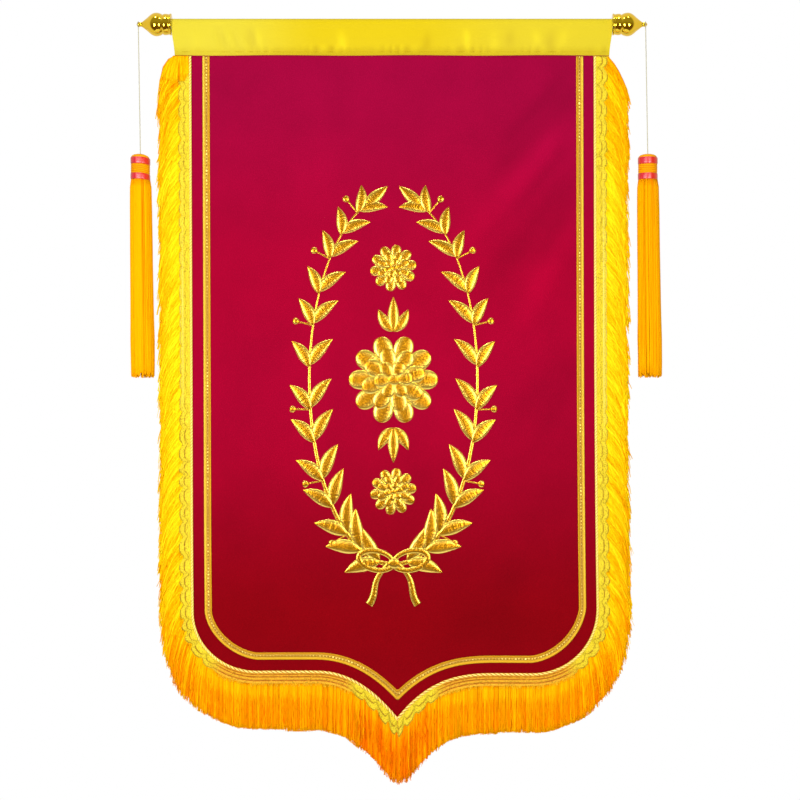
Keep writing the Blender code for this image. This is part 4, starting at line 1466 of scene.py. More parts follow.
def make_hem_loops():
    """Small bright loops where the threads of the hem turn back into the braid."""
    draws = np.random.default_rng(5)
    distance = np.arange(LOOP_PITCH, BORDER_LENGTH - LOOP_PITCH, LOOP_PITCH)
    distance = distance[wander(distance) < 0.35]
    distance = distance[draws.random(len(distance)) < LOOPS_KEPT]
    distance = distance + draws.normal(0.0, 0.0006, len(distance))
    height = draws.uniform(*LOOP_HEIGHTS, len(distance))
    lean = draws.normal(0.0, 0.0007, len(distance))
    rim = braid_limits(distance)[-1] - LOOP_ROOT
    stops = []
    for aside, out, forward in LOOP_SHAPE:
        place = on_border(distance + LOOP_HALF_WIDTH * aside + lean * out, rim + height * out)
        stops.append(on_cloth(place, HEM_CORD_HIGH - 0.0006 + LOOP_RISE * forward))
    points = np.stack(stops, axis=1)
    return add_tubes("hem_loops", points, LOOP_CORD, LOOP_CORD_SIDES, cords["braid_loop"], *FRINGE_PIECE)


for piece in (make_tape(), make_braid_strip(), make_braid_edge(), make_hem_loops()):
    report(piece)

# %% [markdown]
# ## The fringe
# The fringe is some thousands of cut threads. On the sides they leave the braid
# outward, droop and hang; at the hem they fall straight. Threads gather in
# small locks whose ends draw together, which gives the ragged lower line. One
# rule bends them all, and seeded random draws make each a little different.

# %% Fringe threads
LOCK_LENGTH = 0.0655
HEM_LENGTH = {-1: 0.985, 1: 0.995}
DROOP_STEPS = 40
DROOPS = {
    # side: start and end angle in degrees and power, at the top and further down
    -1: ((80.0, 0.0, 2.8), (44.0, 2.0, 1.4)),
    1: ((40.0, 9.0, 1.0), (46.0, 2.0, 1.3)),
}
TOP_DROOP = (-0.105, -0.060)
CORNER_DROOP = (-0.80, -0.88, 0.32)
CORNER_LOSS = 0.035
END_SPREAD = math.radians(9)
LEAN_FROM = 0.5
LEAN_POWER = 1.3
STRAIGHT_WITHIN = 0.153
GAIN_FROM = 0.078
GAIN_FULL = 0.042
LOSS_WITHIN = 0.016
LOSS_AT_TIP = 0.045
THREAD_RADIUS = 0.00050
BOLD_SHARE = 0.22
BOLD_RADIUS = 1.55
THREAD_SIDES = 3
THREAD_STOPS = (0.0, 0.15, 0.35, 0.60, 0.825, 1.0)
STOP_SHARES = np.array((0.0, *THREAD_STOPS))
THREAD_TAPER = np.array((0.9, 1.0, 1.0, 1.0, 1.0, 0.95, 0.7))
WISP_HALF_WIDTH = 0.0023
WISP_FLATNESS = 0.25
WISP_SIDES = 4
WISP_SHADE_WARMTH = 0.10
WISP_TAPER = np.array((0.5, 1.0, 1.15, 1.2, 1.2, 1.0, 0.45))
GATHER_PITCH = 0.0046
LOCK_PULL = 0.12
TUFT_PITCH = 0.0300
ROOT_UNDER_RIM = 0.0012
BACK_ROOT = 0.0185
WISP_ROOT = 0.0195
LENGTH_SPREAD = {"lock": 0.035, "tuft": 0.040, "thread": 0.045}
SWING_SPREAD = {"lock": 0.04, "tuft": 0.035, "thread": 0.17}
BACK_LAYER = 0.40
SHORT_LAYER = 0.50
FRINGE_PARTS = {
    # name: start and end as shares of the border, threads, wisps, seed
    "left": (0.0, 0.335, 2800, 460, 11),
    "hem": (0.335, 0.665, 2900, 520, 12),
    "right": (0.665, 1.0, 2800, 460, 13),
}
print("threads:", sum(part[2] for part in FRINGE_PARTS.values()))

# %% How the threads hang
def spread_roots(start, end, count, draws):
    """Distances along the border for a stretch's threads, closer together round the corners."""
    line = np.linspace(BORDER_LENGTH * start, BORDER_LENGTH * end, 400)
    normal = border_normal(line)
    weight = np.cumsum(1.0 + 1.3 * np.abs(normal[:, 0] * normal[:, 1]))
    share = (np.arange(count) + draws.random(count)) / count
    return np.interp(weight[0] + share * (weight[-1] - weight[0]), weight, line)


def droop_rule(place):
    """Start angle, end angle and power with which the threads droop at each place."""
    top = smooth_step(*TOP_DROOP, place[:, 1])[:, None]
    rules = []
    for side in (-1, 1):
        at_top, below = (np.array(rule) for rule in DROOPS[side])
        rules.append(below + (at_top - below) * top)
    start, end, power = np.where(place[:, :1] < 0.0, *rules).T
    return np.radians(start), np.radians(end), power


def droop(side, lean, length, angles):
    """Offsets (x, z) of hanging threads at their stops, from where they leave the braid."""
    start, end, power = (values[:, None] for values in angles)
    share = (np.arange(DROOP_STEPS) + 0.5) / DROOP_STEPS
    angle = lean[:, None] * (end + (start - end) * (1.0 - share) ** power)
    step = (length / DROOP_STEPS)[:, None]
    run = np.stack((side[:, None] * np.sin(angle) * step, -np.cos(angle) * step), axis=-1)
    run = np.concatenate((np.zeros((len(side), 1, 2)), np.cumsum(run, axis=1)), axis=1)
    picks = np.rint(np.array(THREAD_STOPS) * DROOP_STEPS).astype(int)
    return run[:, picks]


def length_gain(edge):
    """Extra share of a thread's length on the slopes beside the tip, less at the tip itself."""
    offset = edge[:, 0] - drift(edge[:, 1])
    most = np.where(offset < 0.0, LEFT_HALF["lock_gain"], RIGHT_HALF["lock_gain"])
    loss = smooth_step(LOSS_WITHIN, 0.0, np.abs(offset))
    return most * smooth_step(GAIN_FROM, GAIN_FULL, np.abs(offset)) * (1.0 - loss) - LOSS_AT_TIP * loss


def hang_threads(distance, root_offset, length, start_factor, end_extra):
    """Paths (x, z) of threads from their roots on the braid, and how much each leans out."""
    normal = border_normal(distance)
    lean = np.clip((np.abs(normal[:, 0]) - LEAN_FROM) / (1.0 - LEAN_FROM), 0.0, None) ** LEAN_POWER
    edge = on_border(distance, TAPE_WIDTH)
    lean = np.where(np.abs(edge[:, 0]) < STRAIGHT_WITHIN, 0.0, lean)
    corner = smooth_step(*CORNER_DROOP[:2], edge[:, 1])
    lean = lean * (1.0 - CORNER_DROOP[2] * corner)
    length = length * (1.0 - CORNER_LOSS * corner * (np.abs(edge[:, 0]) > STRAIGHT_WITHIN))
    start, end, power = droop_rule(edge)
    start, end = start * start_factor, end + end_extra
    side = np.sign(normal[:, 0])
    first = lean * start
    leave = np.stack((side * np.sin(first), -np.cos(first)), axis=-1)
    lead = (TAPE_WIDTH - root_offset) / np.maximum(0.45, (leave * normal).sum(-1))
    root = on_border(distance, root_offset)
    hem = np.where(edge[:, 0] < 0.0, HEM_LENGTH[-1], HEM_LENGTH[1])
    length = length * (hem + (1.0 - hem) * np.abs(normal[:, 0])) * (1.0 + length_gain(edge))
    fall = droop(side, lean, length, (start, end, power))
    fall = fall + (root + leave * lead[:, None])[:, None]
    return np.concatenate((root[:, None], fall), axis=1), lean, edge


def gather(paths, group, pull):
    """Draw each lock's threads together, with a pull at each of their stops."""
    total = np.zeros((group.max() + 1, *paths.shape[1:]))
    np.add.at(total, group, paths)
    middle = total / np.maximum(np.bincount(group), 1)[:, None, None]
    return paths + (middle[group] - paths) * pull[:, None]


def at_depth(paths, y):
    """Points (x, y, z) from paths (x, z) and their depth."""
    return np.stack((paths[..., 0], y, paths[..., 1]), axis=-1)


print("stops along each thread:", len(STOP_SHARES))

# %% Threads and wisps
WARMER = {"shoulder": 0.09, "hem": 0.63, "top": 0.27, "tip": 0.20}


def thread_warmth(edge, share):
    """How orange the threads are: bright on the sides, warmer at the top, and painted warmer light towards
    the hem and tip.
    """
    low = smooth_step(-0.79, -0.93, edge[:, 1])[:, None]
    shoulder = smooth_step(-0.58, -0.80, edge[:, 1])[:, None]
    high = smooth_step(-0.20, -0.06, edge[:, 1])[:, None] * (1.0 - 0.60 * share)
    tip = smooth_step(0.10, 0.0, np.abs(edge[:, 0]))[:, None]
    on_side = 0.16 + 0.14 * share - 0.14 * smooth_step(0.80, 1.0, share)
    at_hem = 0.16 * smooth_step(0.05, 0.35, share) - 0.12 * smooth_step(0.86, 1.0, share) - 0.10
    on_side = on_side + WARMER["shoulder"] * shoulder
    # Painted light: the warmer light along the hem is painted as a more orange colour.
    warmth = on_side * (1.0 - low) + (WARMER["hem"] + at_hem) * low
    return warmth + WARMER["top"] * high + WARMER["tip"] * tip


def add_threads(
        name, paths, radii, look, material=fringe_thread, replaced=("fringe",), sides=THREAD_SIDES,
        flatness=1.0):
    """Bundle of threads; look is the tone, the warmth and the painted root shade of their points."""
    piece = add_tubes(name, paths, radii, sides, material, "gold_thread", replaced, flatness=flatness)
    for label, values in zip(("tone", "warmth", "root"), look):
        every = np.broadcast_to(values, paths.shape[:2])
        store(piece, label, np.repeat(every[..., None], sides, axis=-1))
    return piece


def make_fringe(name, start, end, count, seed):
    """Single threads of one stretch of the fringe."""
    draws = np.random.default_rng(seed)
    share = STOP_SHARES
    distance = spread_roots(start, end, count, draws)
    group = ((distance - BORDER_LENGTH * start + draws.normal(0.0, 0.0009, count)) / GATHER_PITCH).astype(int)
    group = np.clip(group, 0, None)
    locks = group.max() + 1
    lock_tone, lock_lift = draws.random(locks), draws.random(locks)
    lock_length = draws.normal(0.0, LENGTH_SPREAD["lock"], locks)
    lock_swing = draws.normal(0.0, SWING_SPREAD["lock"], locks)
    tuft = np.clip(((distance - BORDER_LENGTH * start) / TUFT_PITCH).astype(int), 0, None)
    tufts = tuft.max() + 1
    tuft_length = draws.normal(0.0, LENGTH_SPREAD["tuft"], tufts)
    tuft_swing = draws.normal(0.0, SWING_SPREAD["tuft"], tufts)
    layer = draws.random(count)
    outer = layer > BACK_LAYER
    roam = wander(distance)
    front_root = braid_limits(distance)[-1] - ROOT_UNDER_RIM + draws.uniform(0.0, 0.0010, count)
    back_root = np.maximum(front_root, BACK_ROOT) + draws.uniform(0.0, 0.0022, count)
    root_offset = np.where(outer, front_root, back_root)
    jitter = lock_swing[group] + tuft_swing[tuft] + draws.normal(0.0, SWING_SPREAD["thread"], count)
    start_factor = 1.0 + np.clip(jitter, -0.50, 0.06)
    end_extra = END_SPREAD * draws.random(count) ** 2
    spread = lock_length[group] + tuft_length[tuft] + draws.normal(0.0, LENGTH_SPREAD["thread"], count)
    length = LOCK_LENGTH * (1.0 + (0.22 + 0.78 * roam) * np.clip(spread, -0.13, 0.06))
    short = (layer > SHORT_LAYER) & (draws.random(count) < 0.8 * roam)
    start_factor = np.where(short, draws.uniform(0.55, 1.02, count), start_factor)
    end_extra = np.where(short, np.radians(draws.uniform(0.0, 22.0, count)), end_extra)
    length = np.where(short, length * draws.uniform(0.38, 0.88, count), length)
    paths, lean, edge = hang_threads(distance, root_offset, length, start_factor, end_extra)
    turn = math.tau * (draws.uniform(0.8, 2.6, count)[:, None] * share + draws.random(count)[:, None])
    wave = draws.normal(0.0, 0.0012, count)[:, None] * np.sqrt(share) * np.sin(turn)
    paths[..., 0] += wave * (1.0 - 0.5 * lean)[:, None]
    paths[..., 1] += wave * (0.7 * lean)[:, None]
    paths = np.where(short[:, None, None], paths, gather(paths, group, LOCK_PULL * share ** 2))
    first = np.where(outer, CORD_HIGH - 0.0002, TAPE_FRONT)
    last = 0.0036 * (layer - 0.30) + 0.0008 * (lock_lift[group] - 0.5)
    forward = first[:, None] + (last - first)[:, None] * smooth_step(0.0, 0.6, share)[None, :]
    y = hang_y(edge[:, 0], edge[:, 1])[:, None] - forward
    paths = at_depth(paths, y)
    bold = outer & (draws.random(count) < BOLD_SHARE)
    radii = THREAD_RADIUS * draws.uniform(0.85, 1.2, count) * np.where(bold | ~outer, BOLD_RADIUS, 1.0)
    radii = radii[:, None] * THREAD_TAPER
    tone = 0.5 * lock_tone[group] + 0.5 * draws.random(count)
    most_orange = 0.35 + 0.45 * roam
    tone = np.where(bold, np.where(tone > 0.5, most_orange, 0.0) + draws.normal(0.0, 0.08, count), tone)
    tone = 0.5 + (tone - 0.5) * (0.65 + 0.35 * roam)
    # Painted shade at the roots along the hem, and along the whole of bold orange threads.
    root = (0.50 - 0.50 * roam)[:, None] * np.array((1.0, 0.1, 0.0, 0.0, 0.0, 0.0, 0.0))
    root = root + (0.24 * roam * (bold & (tone > 0.6)))[:, None]
    # Painted shade: threads of the back layer are warmer.
    warmth = thread_warmth(edge, share[None, :]) + 0.08 * (layer < BACK_LAYER)[:, None]
    return add_threads("fringe_" + name, paths, radii, (tone[:, None], warmth, root))


def make_wisps(name, start, end, count, seed):
    """Flat wisps behind the single threads, so that no light comes through."""
    draws = np.random.default_rng(seed + 100)
    share = STOP_SHARES
    distance = spread_roots(start, end, count, draws)
    root_offset = np.full(count, WISP_ROOT)
    length = LOCK_LENGTH * (0.980 - 0.030 * wander(distance) + draws.normal(0.0, 0.010, count))
    start_factor = draws.normal(0.98, 0.03, count)
    paths, _, edge = hang_threads(distance, root_offset, length, start_factor, 0.0)
    back = draws.uniform(-0.0006, 0.0006, count) - 0.0006
    y = hang_y(edge[:, 0], edge[:, 1])[:, None] + back[:, None]
    y = y - 0.0012 * (1.0 - smooth_step(0.0, 0.5, share))[None, :]
    paths = at_depth(paths, y)
    radii = WISP_HALF_WIDTH * WISP_TAPER * draws.uniform(0.85, 1.15, count)[:, None]
    # Painted shade: the wisps behind the threads are warmer.
    look = (draws.random(count)[:, None], thread_warmth(edge, share[None, :]) + WISP_SHADE_WARMTH, 0.0)
    return add_threads("wisps_" + name, paths, radii, look, sides=WISP_SIDES, flatness=WISP_FLATNESS)


for name, (start, end, threads, wisps, seed) in FRINGE_PARTS.items():
    report(make_fringe(name, start, end, threads, seed))
    report(make_wisps(name, start, end, wisps, seed))

# %% [markdown]
# ## Loose threads at the left top
# At the left top the heading's hem has caught some threads of the fringe, and
# they fall straight down over the braid. They are the same tubes again, only
# with their own roots below the heading.

# %% Threads over the braid
COVER_THREADS = 460
COVER_FROM_X = -0.2950
COVER_TOP_Z = -0.0462
COVER_REACH = 0.0215
COVER_LENGTH = (0.022, 0.037)
COVER_FAN = math.radians(46)
COVER_STREAK_X = -0.3085
COVER_STREAK_HALF = 0.0016


def make_cover_threads():
    """Threads that fan out from the heading's hem over the left end of the braid."""
    draws = np.random.default_rng(41)
    share = STOP_SHARES
    outward = draws.random(COVER_THREADS) ** 0.85
    x = COVER_FROM_X - COVER_REACH * outward
    lock = np.sin(x * 2100.0) + 0.5 * np.sin(x * 5200.0 + 1.0)
    length = COVER_LENGTH[0] + (COVER_LENGTH[1] - COVER_LENGTH[0]) * draws.random(COVER_THREADS) ** 0.6
    length = length * (0.74 + 0.26 * smooth_step(0.0, 0.3, outward)) + 0.0015 * lock
    fan = COVER_FAN * outward ** 2.2 * draws.uniform(0.75, 1.1, COVER_THREADS)
    angle = fan[:, None] * (1.0 - 0.6 * share) + draws.normal(0.0, 0.05, COVER_THREADS)[:, None]
    steps = np.diff(share, prepend=0.0) * length[:, None]
    path_x = x[:, None] - np.cumsum(np.sin(angle) * steps, axis=1)
    path_z = COVER_TOP_Z - np.cumsum(np.cos(angle) * steps, axis=1)
    forward = 0.0042 + 0.0014 * draws.random(COVER_THREADS)[:, None] - 0.0010 * share
    paths = np.stack((path_x, hang_y(path_x, path_z) - forward, path_z), axis=-1)
    radii = THREAD_RADIUS * THREAD_TAPER * draws.uniform(0.9, 1.5, COVER_THREADS)[:, None]
    tone = draws.random(COVER_THREADS)[:, None]
    streak = np.exp(-((path_x - COVER_STREAK_X) / COVER_STREAK_HALF) ** 2) * smooth_step(0.2, 0.5, share)
    warmth = 0.52 - 0.16 * share + 0.30 * streak
    return add_threads("fringe_cover", paths, radii, (tone, warmth, 0.5 * streak))


report(make_cover_threads())

# %% [markdown]
# ## The gold trim ribbon
# Inside the fringe a narrow ribbon follows the seam. It has a raised cord on
# each edge, a ribbed ground, and a chain of small bright links down its middle
# whose faces tilt this way and that, so that only some of them flash.

# %% Trim ribbon
TRIM_PIECE = ("gold_ribbon", ("trim",))
TRIM_BACK = 0.0010
TRIM_FRONT = 0.0019
TRIM_CORDS = (
    # name, place across the ribbon from its outer edge, radius, flatness
    ("outer", 0.155, 0.0015, 0.5),
    ("inner", 0.895, 0.0010, 0.6),
)
TRIM_CORD_RISE = 0.0001
TRIM_CORD_SIDES = 10
TRIM_CHAIN_SHARE = 0.55
TRIM_STOPS = 600
LINK_PITCH = 0.0048
LINK_SIZE = (0.0016, 0.0012, 0.0006)
LINK_SIDES = 8
LINK_RINGS = (
    # share of the link's size, and its height from back -1 to front 1
    (1.0, -0.4), (1.0, 0.1), (0.62, 0.9),
)


def trim_edges():
    """Outer and inner edge of the ribbon."""
    halves = []
    for half in (LEFT_HALF, RIGHT_HALF):
        offsets = (-half["trim_inset"], -half["trim_inset"] - TRIM_WIDTH)
        halves.append(half_lines(half, offsets, TRIM_CORNER_INSET))
    return join_halves(*halves)


TRIM_OUT, TRIM_IN = trim_edges()
TRIM_RUN = run_along(TRIM_OUT)
TRIM_LENGTH = float(TRIM_RUN[-1])


def on_trim(distance, share, forward):
    """Point on the ribbon: share 0 is its outer edge and 1 its inner edge."""
    return on_cloth(between(distance, TRIM_RUN, TRIM_OUT, TRIM_IN, share), forward)


def make_trim_ribbon():
    """Ribbed ground of the ribbon and the cord on each of its edges."""
    distance = np.linspace(0.0, TRIM_LENGTH, TRIM_STOPS)
    shares = (0.0, 0.0, 0.15, 0.35, 0.65, 0.85, 1.0, 1.0)
    forwards = (TRIM_BACK, *(TRIM_FRONT,) * 6, TRIM_BACK)
    sections = [on_trim(distance, share, forward) for share, forward in zip(shares, forwards)]
    points = np.stack(sections, axis=1)
    pieces = [add_rings("trim_ground", points, distance, gold_ribbon, *TRIM_PIECE)]
    for name, share, radius, flatness in TRIM_CORDS:
        path = on_trim(distance, share, TRIM_FRONT + TRIM_CORD_RISE)[None]
        pieces.append(add_tubes(
            "trim_cord_" + name, path, radius, TRIM_CORD_SIDES, cords["gilt_" + name], *TRIM_PIECE,
            flatness=flatness))
    return pieces


def make_trim_chain():
    """Chain of small faceted links, in groups of larger and smaller ones."""
    draws = np.random.default_rng(21)
    distance = np.arange(LINK_PITCH / 2, TRIM_LENGTH, LINK_PITCH)
    across = TRIM_CHAIN_SHARE + draws.normal(0.0, 0.015, len(distance))
    centre = on_trim(distance, across, TRIM_FRONT + 0.0002)
    along = on_trim(distance + 0.001, across, TRIM_FRONT + 0.0002) - centre
    along[:, 1] = 0.0
    along = to_unit(along)
    front = np.tile((0.0, -1.0, 0.0), (len(distance), 1))
    swell = 0.32 * np.sin(distance * 190.0) + draws.normal(0.0, 0.12, len(distance))
    front = front + along * swell[:, None]
    front[:, 2] += 0.25 * np.sin(distance * 57.0) + draws.normal(0.0, 0.08, len(distance))
    front = to_unit(front)
    aside = np.cross(front, along)
    along = np.cross(aside, front)
    size = 0.76 + 0.36 * np.sin(distance * 33.0 + 2.0 * np.sin(distance * 11.0))
    length, width, rise = (side * size[:, None] for side in LINK_SIZE)
    rim = []
    for scale, lift in LINK_RINGS:
        for turn in np.arange(LINK_SIDES) * math.tau / LINK_SIDES:
            u, v = scale * math.cos(turn), scale * math.sin(turn)
            rim.append(centre + along * (u * length) + aside * (v * width) + front * rise * lift)
    faces = tube_faces(len(distance), len(LINK_RINGS), LINK_SIDES)
    chain = add_piece("trim_chain", np.stack(rim, axis=1), faces, gilt_link, *TRIM_PIECE)
    chain.data.shade_flat()
    return chain


for piece in (*make_trim_ribbon(), make_trim_chain()):
    report(piece)

# %% [markdown]
# ## Tassels
# A tassel is a bundle of long threads tied over a core. Its head is wound with yellow thread between two
# glossy red bands, and its skirt falls in two lobes with a slit between them, shown by painted shade on the
# threads beside it. The head is a turned grid with the winding's ridges in its points. The skirt is made of
# threads, like the fringe.

# %% Tassel heads and bands
TASSEL_TOP_Z = -0.1877
HEAD_SIDES = 48
HEAD_PROFILE = (
    # height below the top, radius
    (0.0, 0.0012),
    (-0.0006, 0.0060),
    (-0.0014, 0.0092),
    (-0.0026, 0.0116),
    (-0.0040, 0.0129),
    (-0.0050, 0.0132),
    (-0.0053, 0.0124),
    (-0.0148, 0.0124),
)
WINDING = (-0.0149, -0.0281, 0.0134)
WINDING_PITCH = 0.0027
WINDING_DEPTH = 0.0005
WINDING_ROWS = 64
NECK = ((-0.0282, 0.0124), (-0.0376, 0.0124))
BAND_SPANS = {"upper": (-0.0147, -0.0053), "lower": (-0.0371, -0.0284)}
BAND_INSIDE = 0.0129
BAND_OUTSIDE = 0.0143
BAND_ROWS = 10
TASSELS = {
    # side: centre x, slope of the winding, sag to the right side, seed
    "left": (-0.3648, -0.045, 0.0016, 31),
    "right": (0.3708, 0.010, 0.0003, 32),
}


def add_turned(name, heights, radii, material, slot, replaced, place):
    """Closed turned piece from heights and radii, tilted and sagging as its winding does."""
    centre_x, tilt, sag = place
    turn = math.tau * np.arange(HEAD_SIDES) / HEAD_SIDES
    x, y = radii * np.cos(turn), radii * np.sin(turn)
    z = heights + tilt * x - sag * np.clip(x / BAND_OUTSIDE, 0.0, 1.0) ** 2
    points = np.stack((centre_x + x, y, TASSEL_TOP_Z + z), axis=-1)[::-1]
    return add_rings(name, points, np.linspace(0.0, 1.0, len(radii)), material, slot, replaced)


def make_head(side_name, place):
    """Domed head with its wound middle."""
    turn = np.arange(HEAD_SIDES) / HEAD_SIDES
    top, bottom, winding_radius = WINDING
    rows = [(height, radius, 0.0) for height, radius in HEAD_PROFILE]
    for height in np.linspace(top, bottom, WINDING_ROWS):
        ridge = np.abs(np.sin(math.pi * (height / WINDING_PITCH + turn)))
        rows.append((height, winding_radius + WINDING_DEPTH * ridge, 1.0 - ridge))
    rows.extend((height, radius, 0.0) for height, radius in NECK)
    heights, radii, grooves = (np.array([row[part] + 0.0 * turn for row in rows]) for part in range(3))
    head = add_turned(
        "tassel_head_" + side_name, heights, radii, head_winding, "gold_thread", ("tassel_" + side_name,),
        place)
    store(head, "groove", grooves[::-1])
    return head


def make_band(side_name, level, place):
    """Glossy band with softly rounded edges."""
    low, high = BAND_SPANS[level]
    share = np.linspace(0.0, 1.0, BAND_ROWS)
    round_off = 1.0 - (2.0 * share - 1.0) ** 8
    radii = BAND_INSIDE + (BAND_OUTSIDE - BAND_INSIDE) * (0.7 + 0.3 * round_off)
    radii = np.concatenate(([BAND_INSIDE], radii, [BAND_INSIDE]))[:, None]
    heights = np.concatenate(([high], high + (low - high) * share, [low]))[:, None]
    name = "band_" + side_name + "_" + level
    return add_turned(name + "_gloss", heights, radii, red_winding, "red_winding", (name,), place)


for side_name, (centre_x, tilt, sag, seed) in TASSELS.items():
    place = (centre_x, tilt, sag)
    report(make_head(side_name, place))
    for level in BAND_SPANS:
        report(make_band(side_name, level, place))

# %% Tassel skirts
SKIRT_ROOT_Z = -0.0372
SKIRT_LENGTH = 0.288
SKIRT_RADIUS = 0.0134
SKIRT_THREADS = 800
SKIRT_LOCKS = 34
SKIRT_THREAD_RADIUS = 0.00078
SKIRT_PULL = 0.25
SURFACE_SHARE = 0.7
SURFACE_FROM = 0.86
SKIRT_STOPS = (0.0, 0.04, 0.15, 0.35, 0.60, 0.82, 0.94, 1.0)
SKIRT_TAPER = np.array((1.0, 1.0, 1.0, 1.0, 1.0, 1.0, 0.95, 0.6))
SKIRT_SPREAD = ((0.0, 0.04, 0.5, 1.0), (1.0, 1.12, 1.16, 1.27))
SKIRT_LEAN = 0.0032
SLIT_X = 0.0040
SLIT_HALF = 0.0004


def make_skirt(side_name, centre_x, seed):
    """Threads of one tassel's skirt in two lobes."""
    draws = np.random.default_rng(seed)
    angle = math.tau * draws.random(SKIRT_THREADS)
    on_surface = draws.random(SKIRT_THREADS) < SURFACE_SHARE
    near_surface = draws.uniform(SURFACE_FROM, 1.0, SKIRT_THREADS)
    in_core = SURFACE_FROM * np.sqrt(draws.random(SKIRT_THREADS))
    reach = SKIRT_RADIUS * np.where(on_surface, near_surface, in_core)
    lock = np.floor(angle / math.tau * SKIRT_LOCKS).astype(int)
    lock_length = draws.uniform(0.0, 0.026, SKIRT_LOCKS)
    lock_tone = draws.random(SKIRT_LOCKS)
    share = np.array(SKIRT_STOPS)[None, :]
    x0, y0 = reach * np.cos(angle), reach * np.sin(angle)
    lobe = np.where(x0 > SLIT_X, 1.0, -1.0)
    spread = np.interp(share, *SKIRT_SPREAD)
    x = x0[:, None] * spread + SKIRT_LEAN * share
    x = x + SLIT_HALF * lobe[:, None] * smooth_step(0.0, 0.12, share)
    y = y0[:, None] * spread
    length = SKIRT_LENGTH * (1.0 - lock_length[lock] - draws.uniform(0.0, 0.012, SKIRT_THREADS))
    z = SKIRT_ROOT_Z - length[:, None] * share
    waver = draws.normal(0.0, 0.0004, (SKIRT_THREADS, 1))
    waver = waver * np.sin(math.tau * (share + draws.random((SKIRT_THREADS, 1))))
    x = x + waver * share
    across = gather(np.stack((x, y), axis=-1), lock, SKIRT_PULL * smooth_step(0.85, 1.0, share[0]))
    paths = np.stack((centre_x + across[..., 0], across[..., 1], TASSEL_TOP_Z + z), axis=-1)
    radii = SKIRT_THREAD_RADIUS * SKIRT_TAPER * draws.uniform(0.85, 1.2, SKIRT_THREADS)[:, None]
    tone = (0.32 + 0.08 * lock_tone[lock] + 0.28 * draws.random(SKIRT_THREADS))[:, None]
    # Painted shade: threads beside the slit are more orange near the head.
    slit_shade = np.exp(-((x0 - SLIT_X) / 0.0012) ** 2)[:, None]
    warmth = 0.53 + 0.25 * slit_shade * (1.0 - share)
    # Painted shade where the threads leave the head.
    skirt_root_shade = 0.4 * np.clip(1.0 - share / 0.03, 0.0, 1.0)
    return add_threads(
        "tassel_skirt_" + side_name, paths, radii, (tone, warmth, skirt_root_shade), tassel_thread,
        ("tassel_" + side_name,))


for side_name, (centre_x, _, _, seed) in TASSELS.items():
    report(make_skirt(side_name, centre_x, seed))

# %% [markdown]
# ## Finials
# A finial is turned on a lathe: a flange against the heading, a collar, a ball
# that runs out to a cone, and a small knob. The finer piece turns the same
# profile with more sides and a smooth curve through its points, so that the
# mirror finish shows no corners.

# %% Finials
FINIAL_SIDES = 72
FINIAL_ROWS = 110
FINIAL_START = 0.3197
BORE_RADIUS = 0.0073
BORE_DEPTH = 0.0153
LEAST_RADIUS = 0.0002
SHARP_FROM = math.radians(50)
FINIAL_PROFILE = (
    # distance from the heading's end, radius
    (0.0000, 0.0152), (0.0010, 0.0157), (0.0028, 0.0148), (0.0070, 0.0152), (0.0108, 0.0150),
    (0.0122, 0.0144), (0.0130, 0.0140), (0.0138, 0.0146), (0.0152, 0.0154), (0.0182, 0.0164),
    (0.0220, 0.0169), (0.0255, 0.0163), (0.0285, 0.0149), (0.0315, 0.0127), (0.0345, 0.0100),
    (0.0375, 0.0076), (0.0400, 0.0056), (0.0420, 0.0041), (0.0437, 0.0032), (0.0455, 0.0032),
    (0.0475, 0.0034), (0.0495, 0.0022), (0.0506, 0.0002),
)


def smooth_profile(profile, rows):
    """Curve through the points of a profile, without overshoot at its steps."""
    run = np.array([place for place, _ in profile])
    radius = np.array([value for _, value in profile])
    slope = np.gradient(radius, run)
    at = np.linspace(run[0], run[-1], rows)
    index = np.clip(np.searchsorted(run, at, side="right") - 1, 0, len(run) - 2)
    width = run[index + 1] - run[index]
    t = (at - run[index]) / width
    first = (2 * t ** 3 - 3 * t ** 2 + 1) * radius[index] + (t ** 3 - 2 * t ** 2 + t) * width * slope[index]
    second = (3 * t ** 2 - 2 * t ** 3) * radius[index + 1] + (t ** 3 - t ** 2) * width * slope[index + 1]
    return at, np.maximum(first + second, LEAST_RADIUS)


def make_finial(side, side_name):
    """Turned finial with its socket."""
    run, radius = smooth_profile(FINIAL_PROFILE, FINIAL_ROWS)
    run = np.concatenate(((BORE_DEPTH, BORE_DEPTH, 0.0), run))
    radius = np.concatenate(((LEAST_RADIUS, BORE_RADIUS, BORE_RADIUS), radius))
    turn = math.tau * np.arange(FINIAL_SIDES) / FINIAL_SIDES * side
    x = side * (FINIAL_START + run)[:, None] + 0 * turn
    y = radius[:, None] * np.cos(turn)
    z = radius[:, None] * np.sin(turn)
    finial = add_piece(
        "finial_turning_" + side_name, np.stack((x, y, z), axis=-1), closed_faces(len(run), FINIAL_SIDES),
        gold_plating, "gold_plating", ("finial_" + side_name,))
    finial.data.set_sharp_from_angle(angle=SHARP_FROM)
    return finial


for side, side_name in ((-1, "left"), (1, "right")):
    report(make_finial(side, side_name))
rod = nodes["rod"]
rod.data.materials.clear()
rod.data.materials.append(bright_steel)

# %% [markdown]
# ## Gold embroidery
# The banner's middle carries padded satin stitch in metallic thread. Here it is
# a plain traditional ornament: two leafy branches that curve up round a
# blossom, tied with a bow. Every motif is the same kind of shape, a band of
# stitches laid across a short spine, so one function makes leaves, petals,
# stems and ribbon. The stitches are real ridges in its mesh.

# %% Stitched shapes
STITCH_PITCH = 0.0009
STITCH_ROUNDS = (-1.0, -0.93, -0.62, -0.25, 0.25, 0.62, 0.93, 1.0)
PAD_LIFTS = (0.0, 0.62, 0.90, 1.0, 1.0, 0.90, 0.62, 0.0)
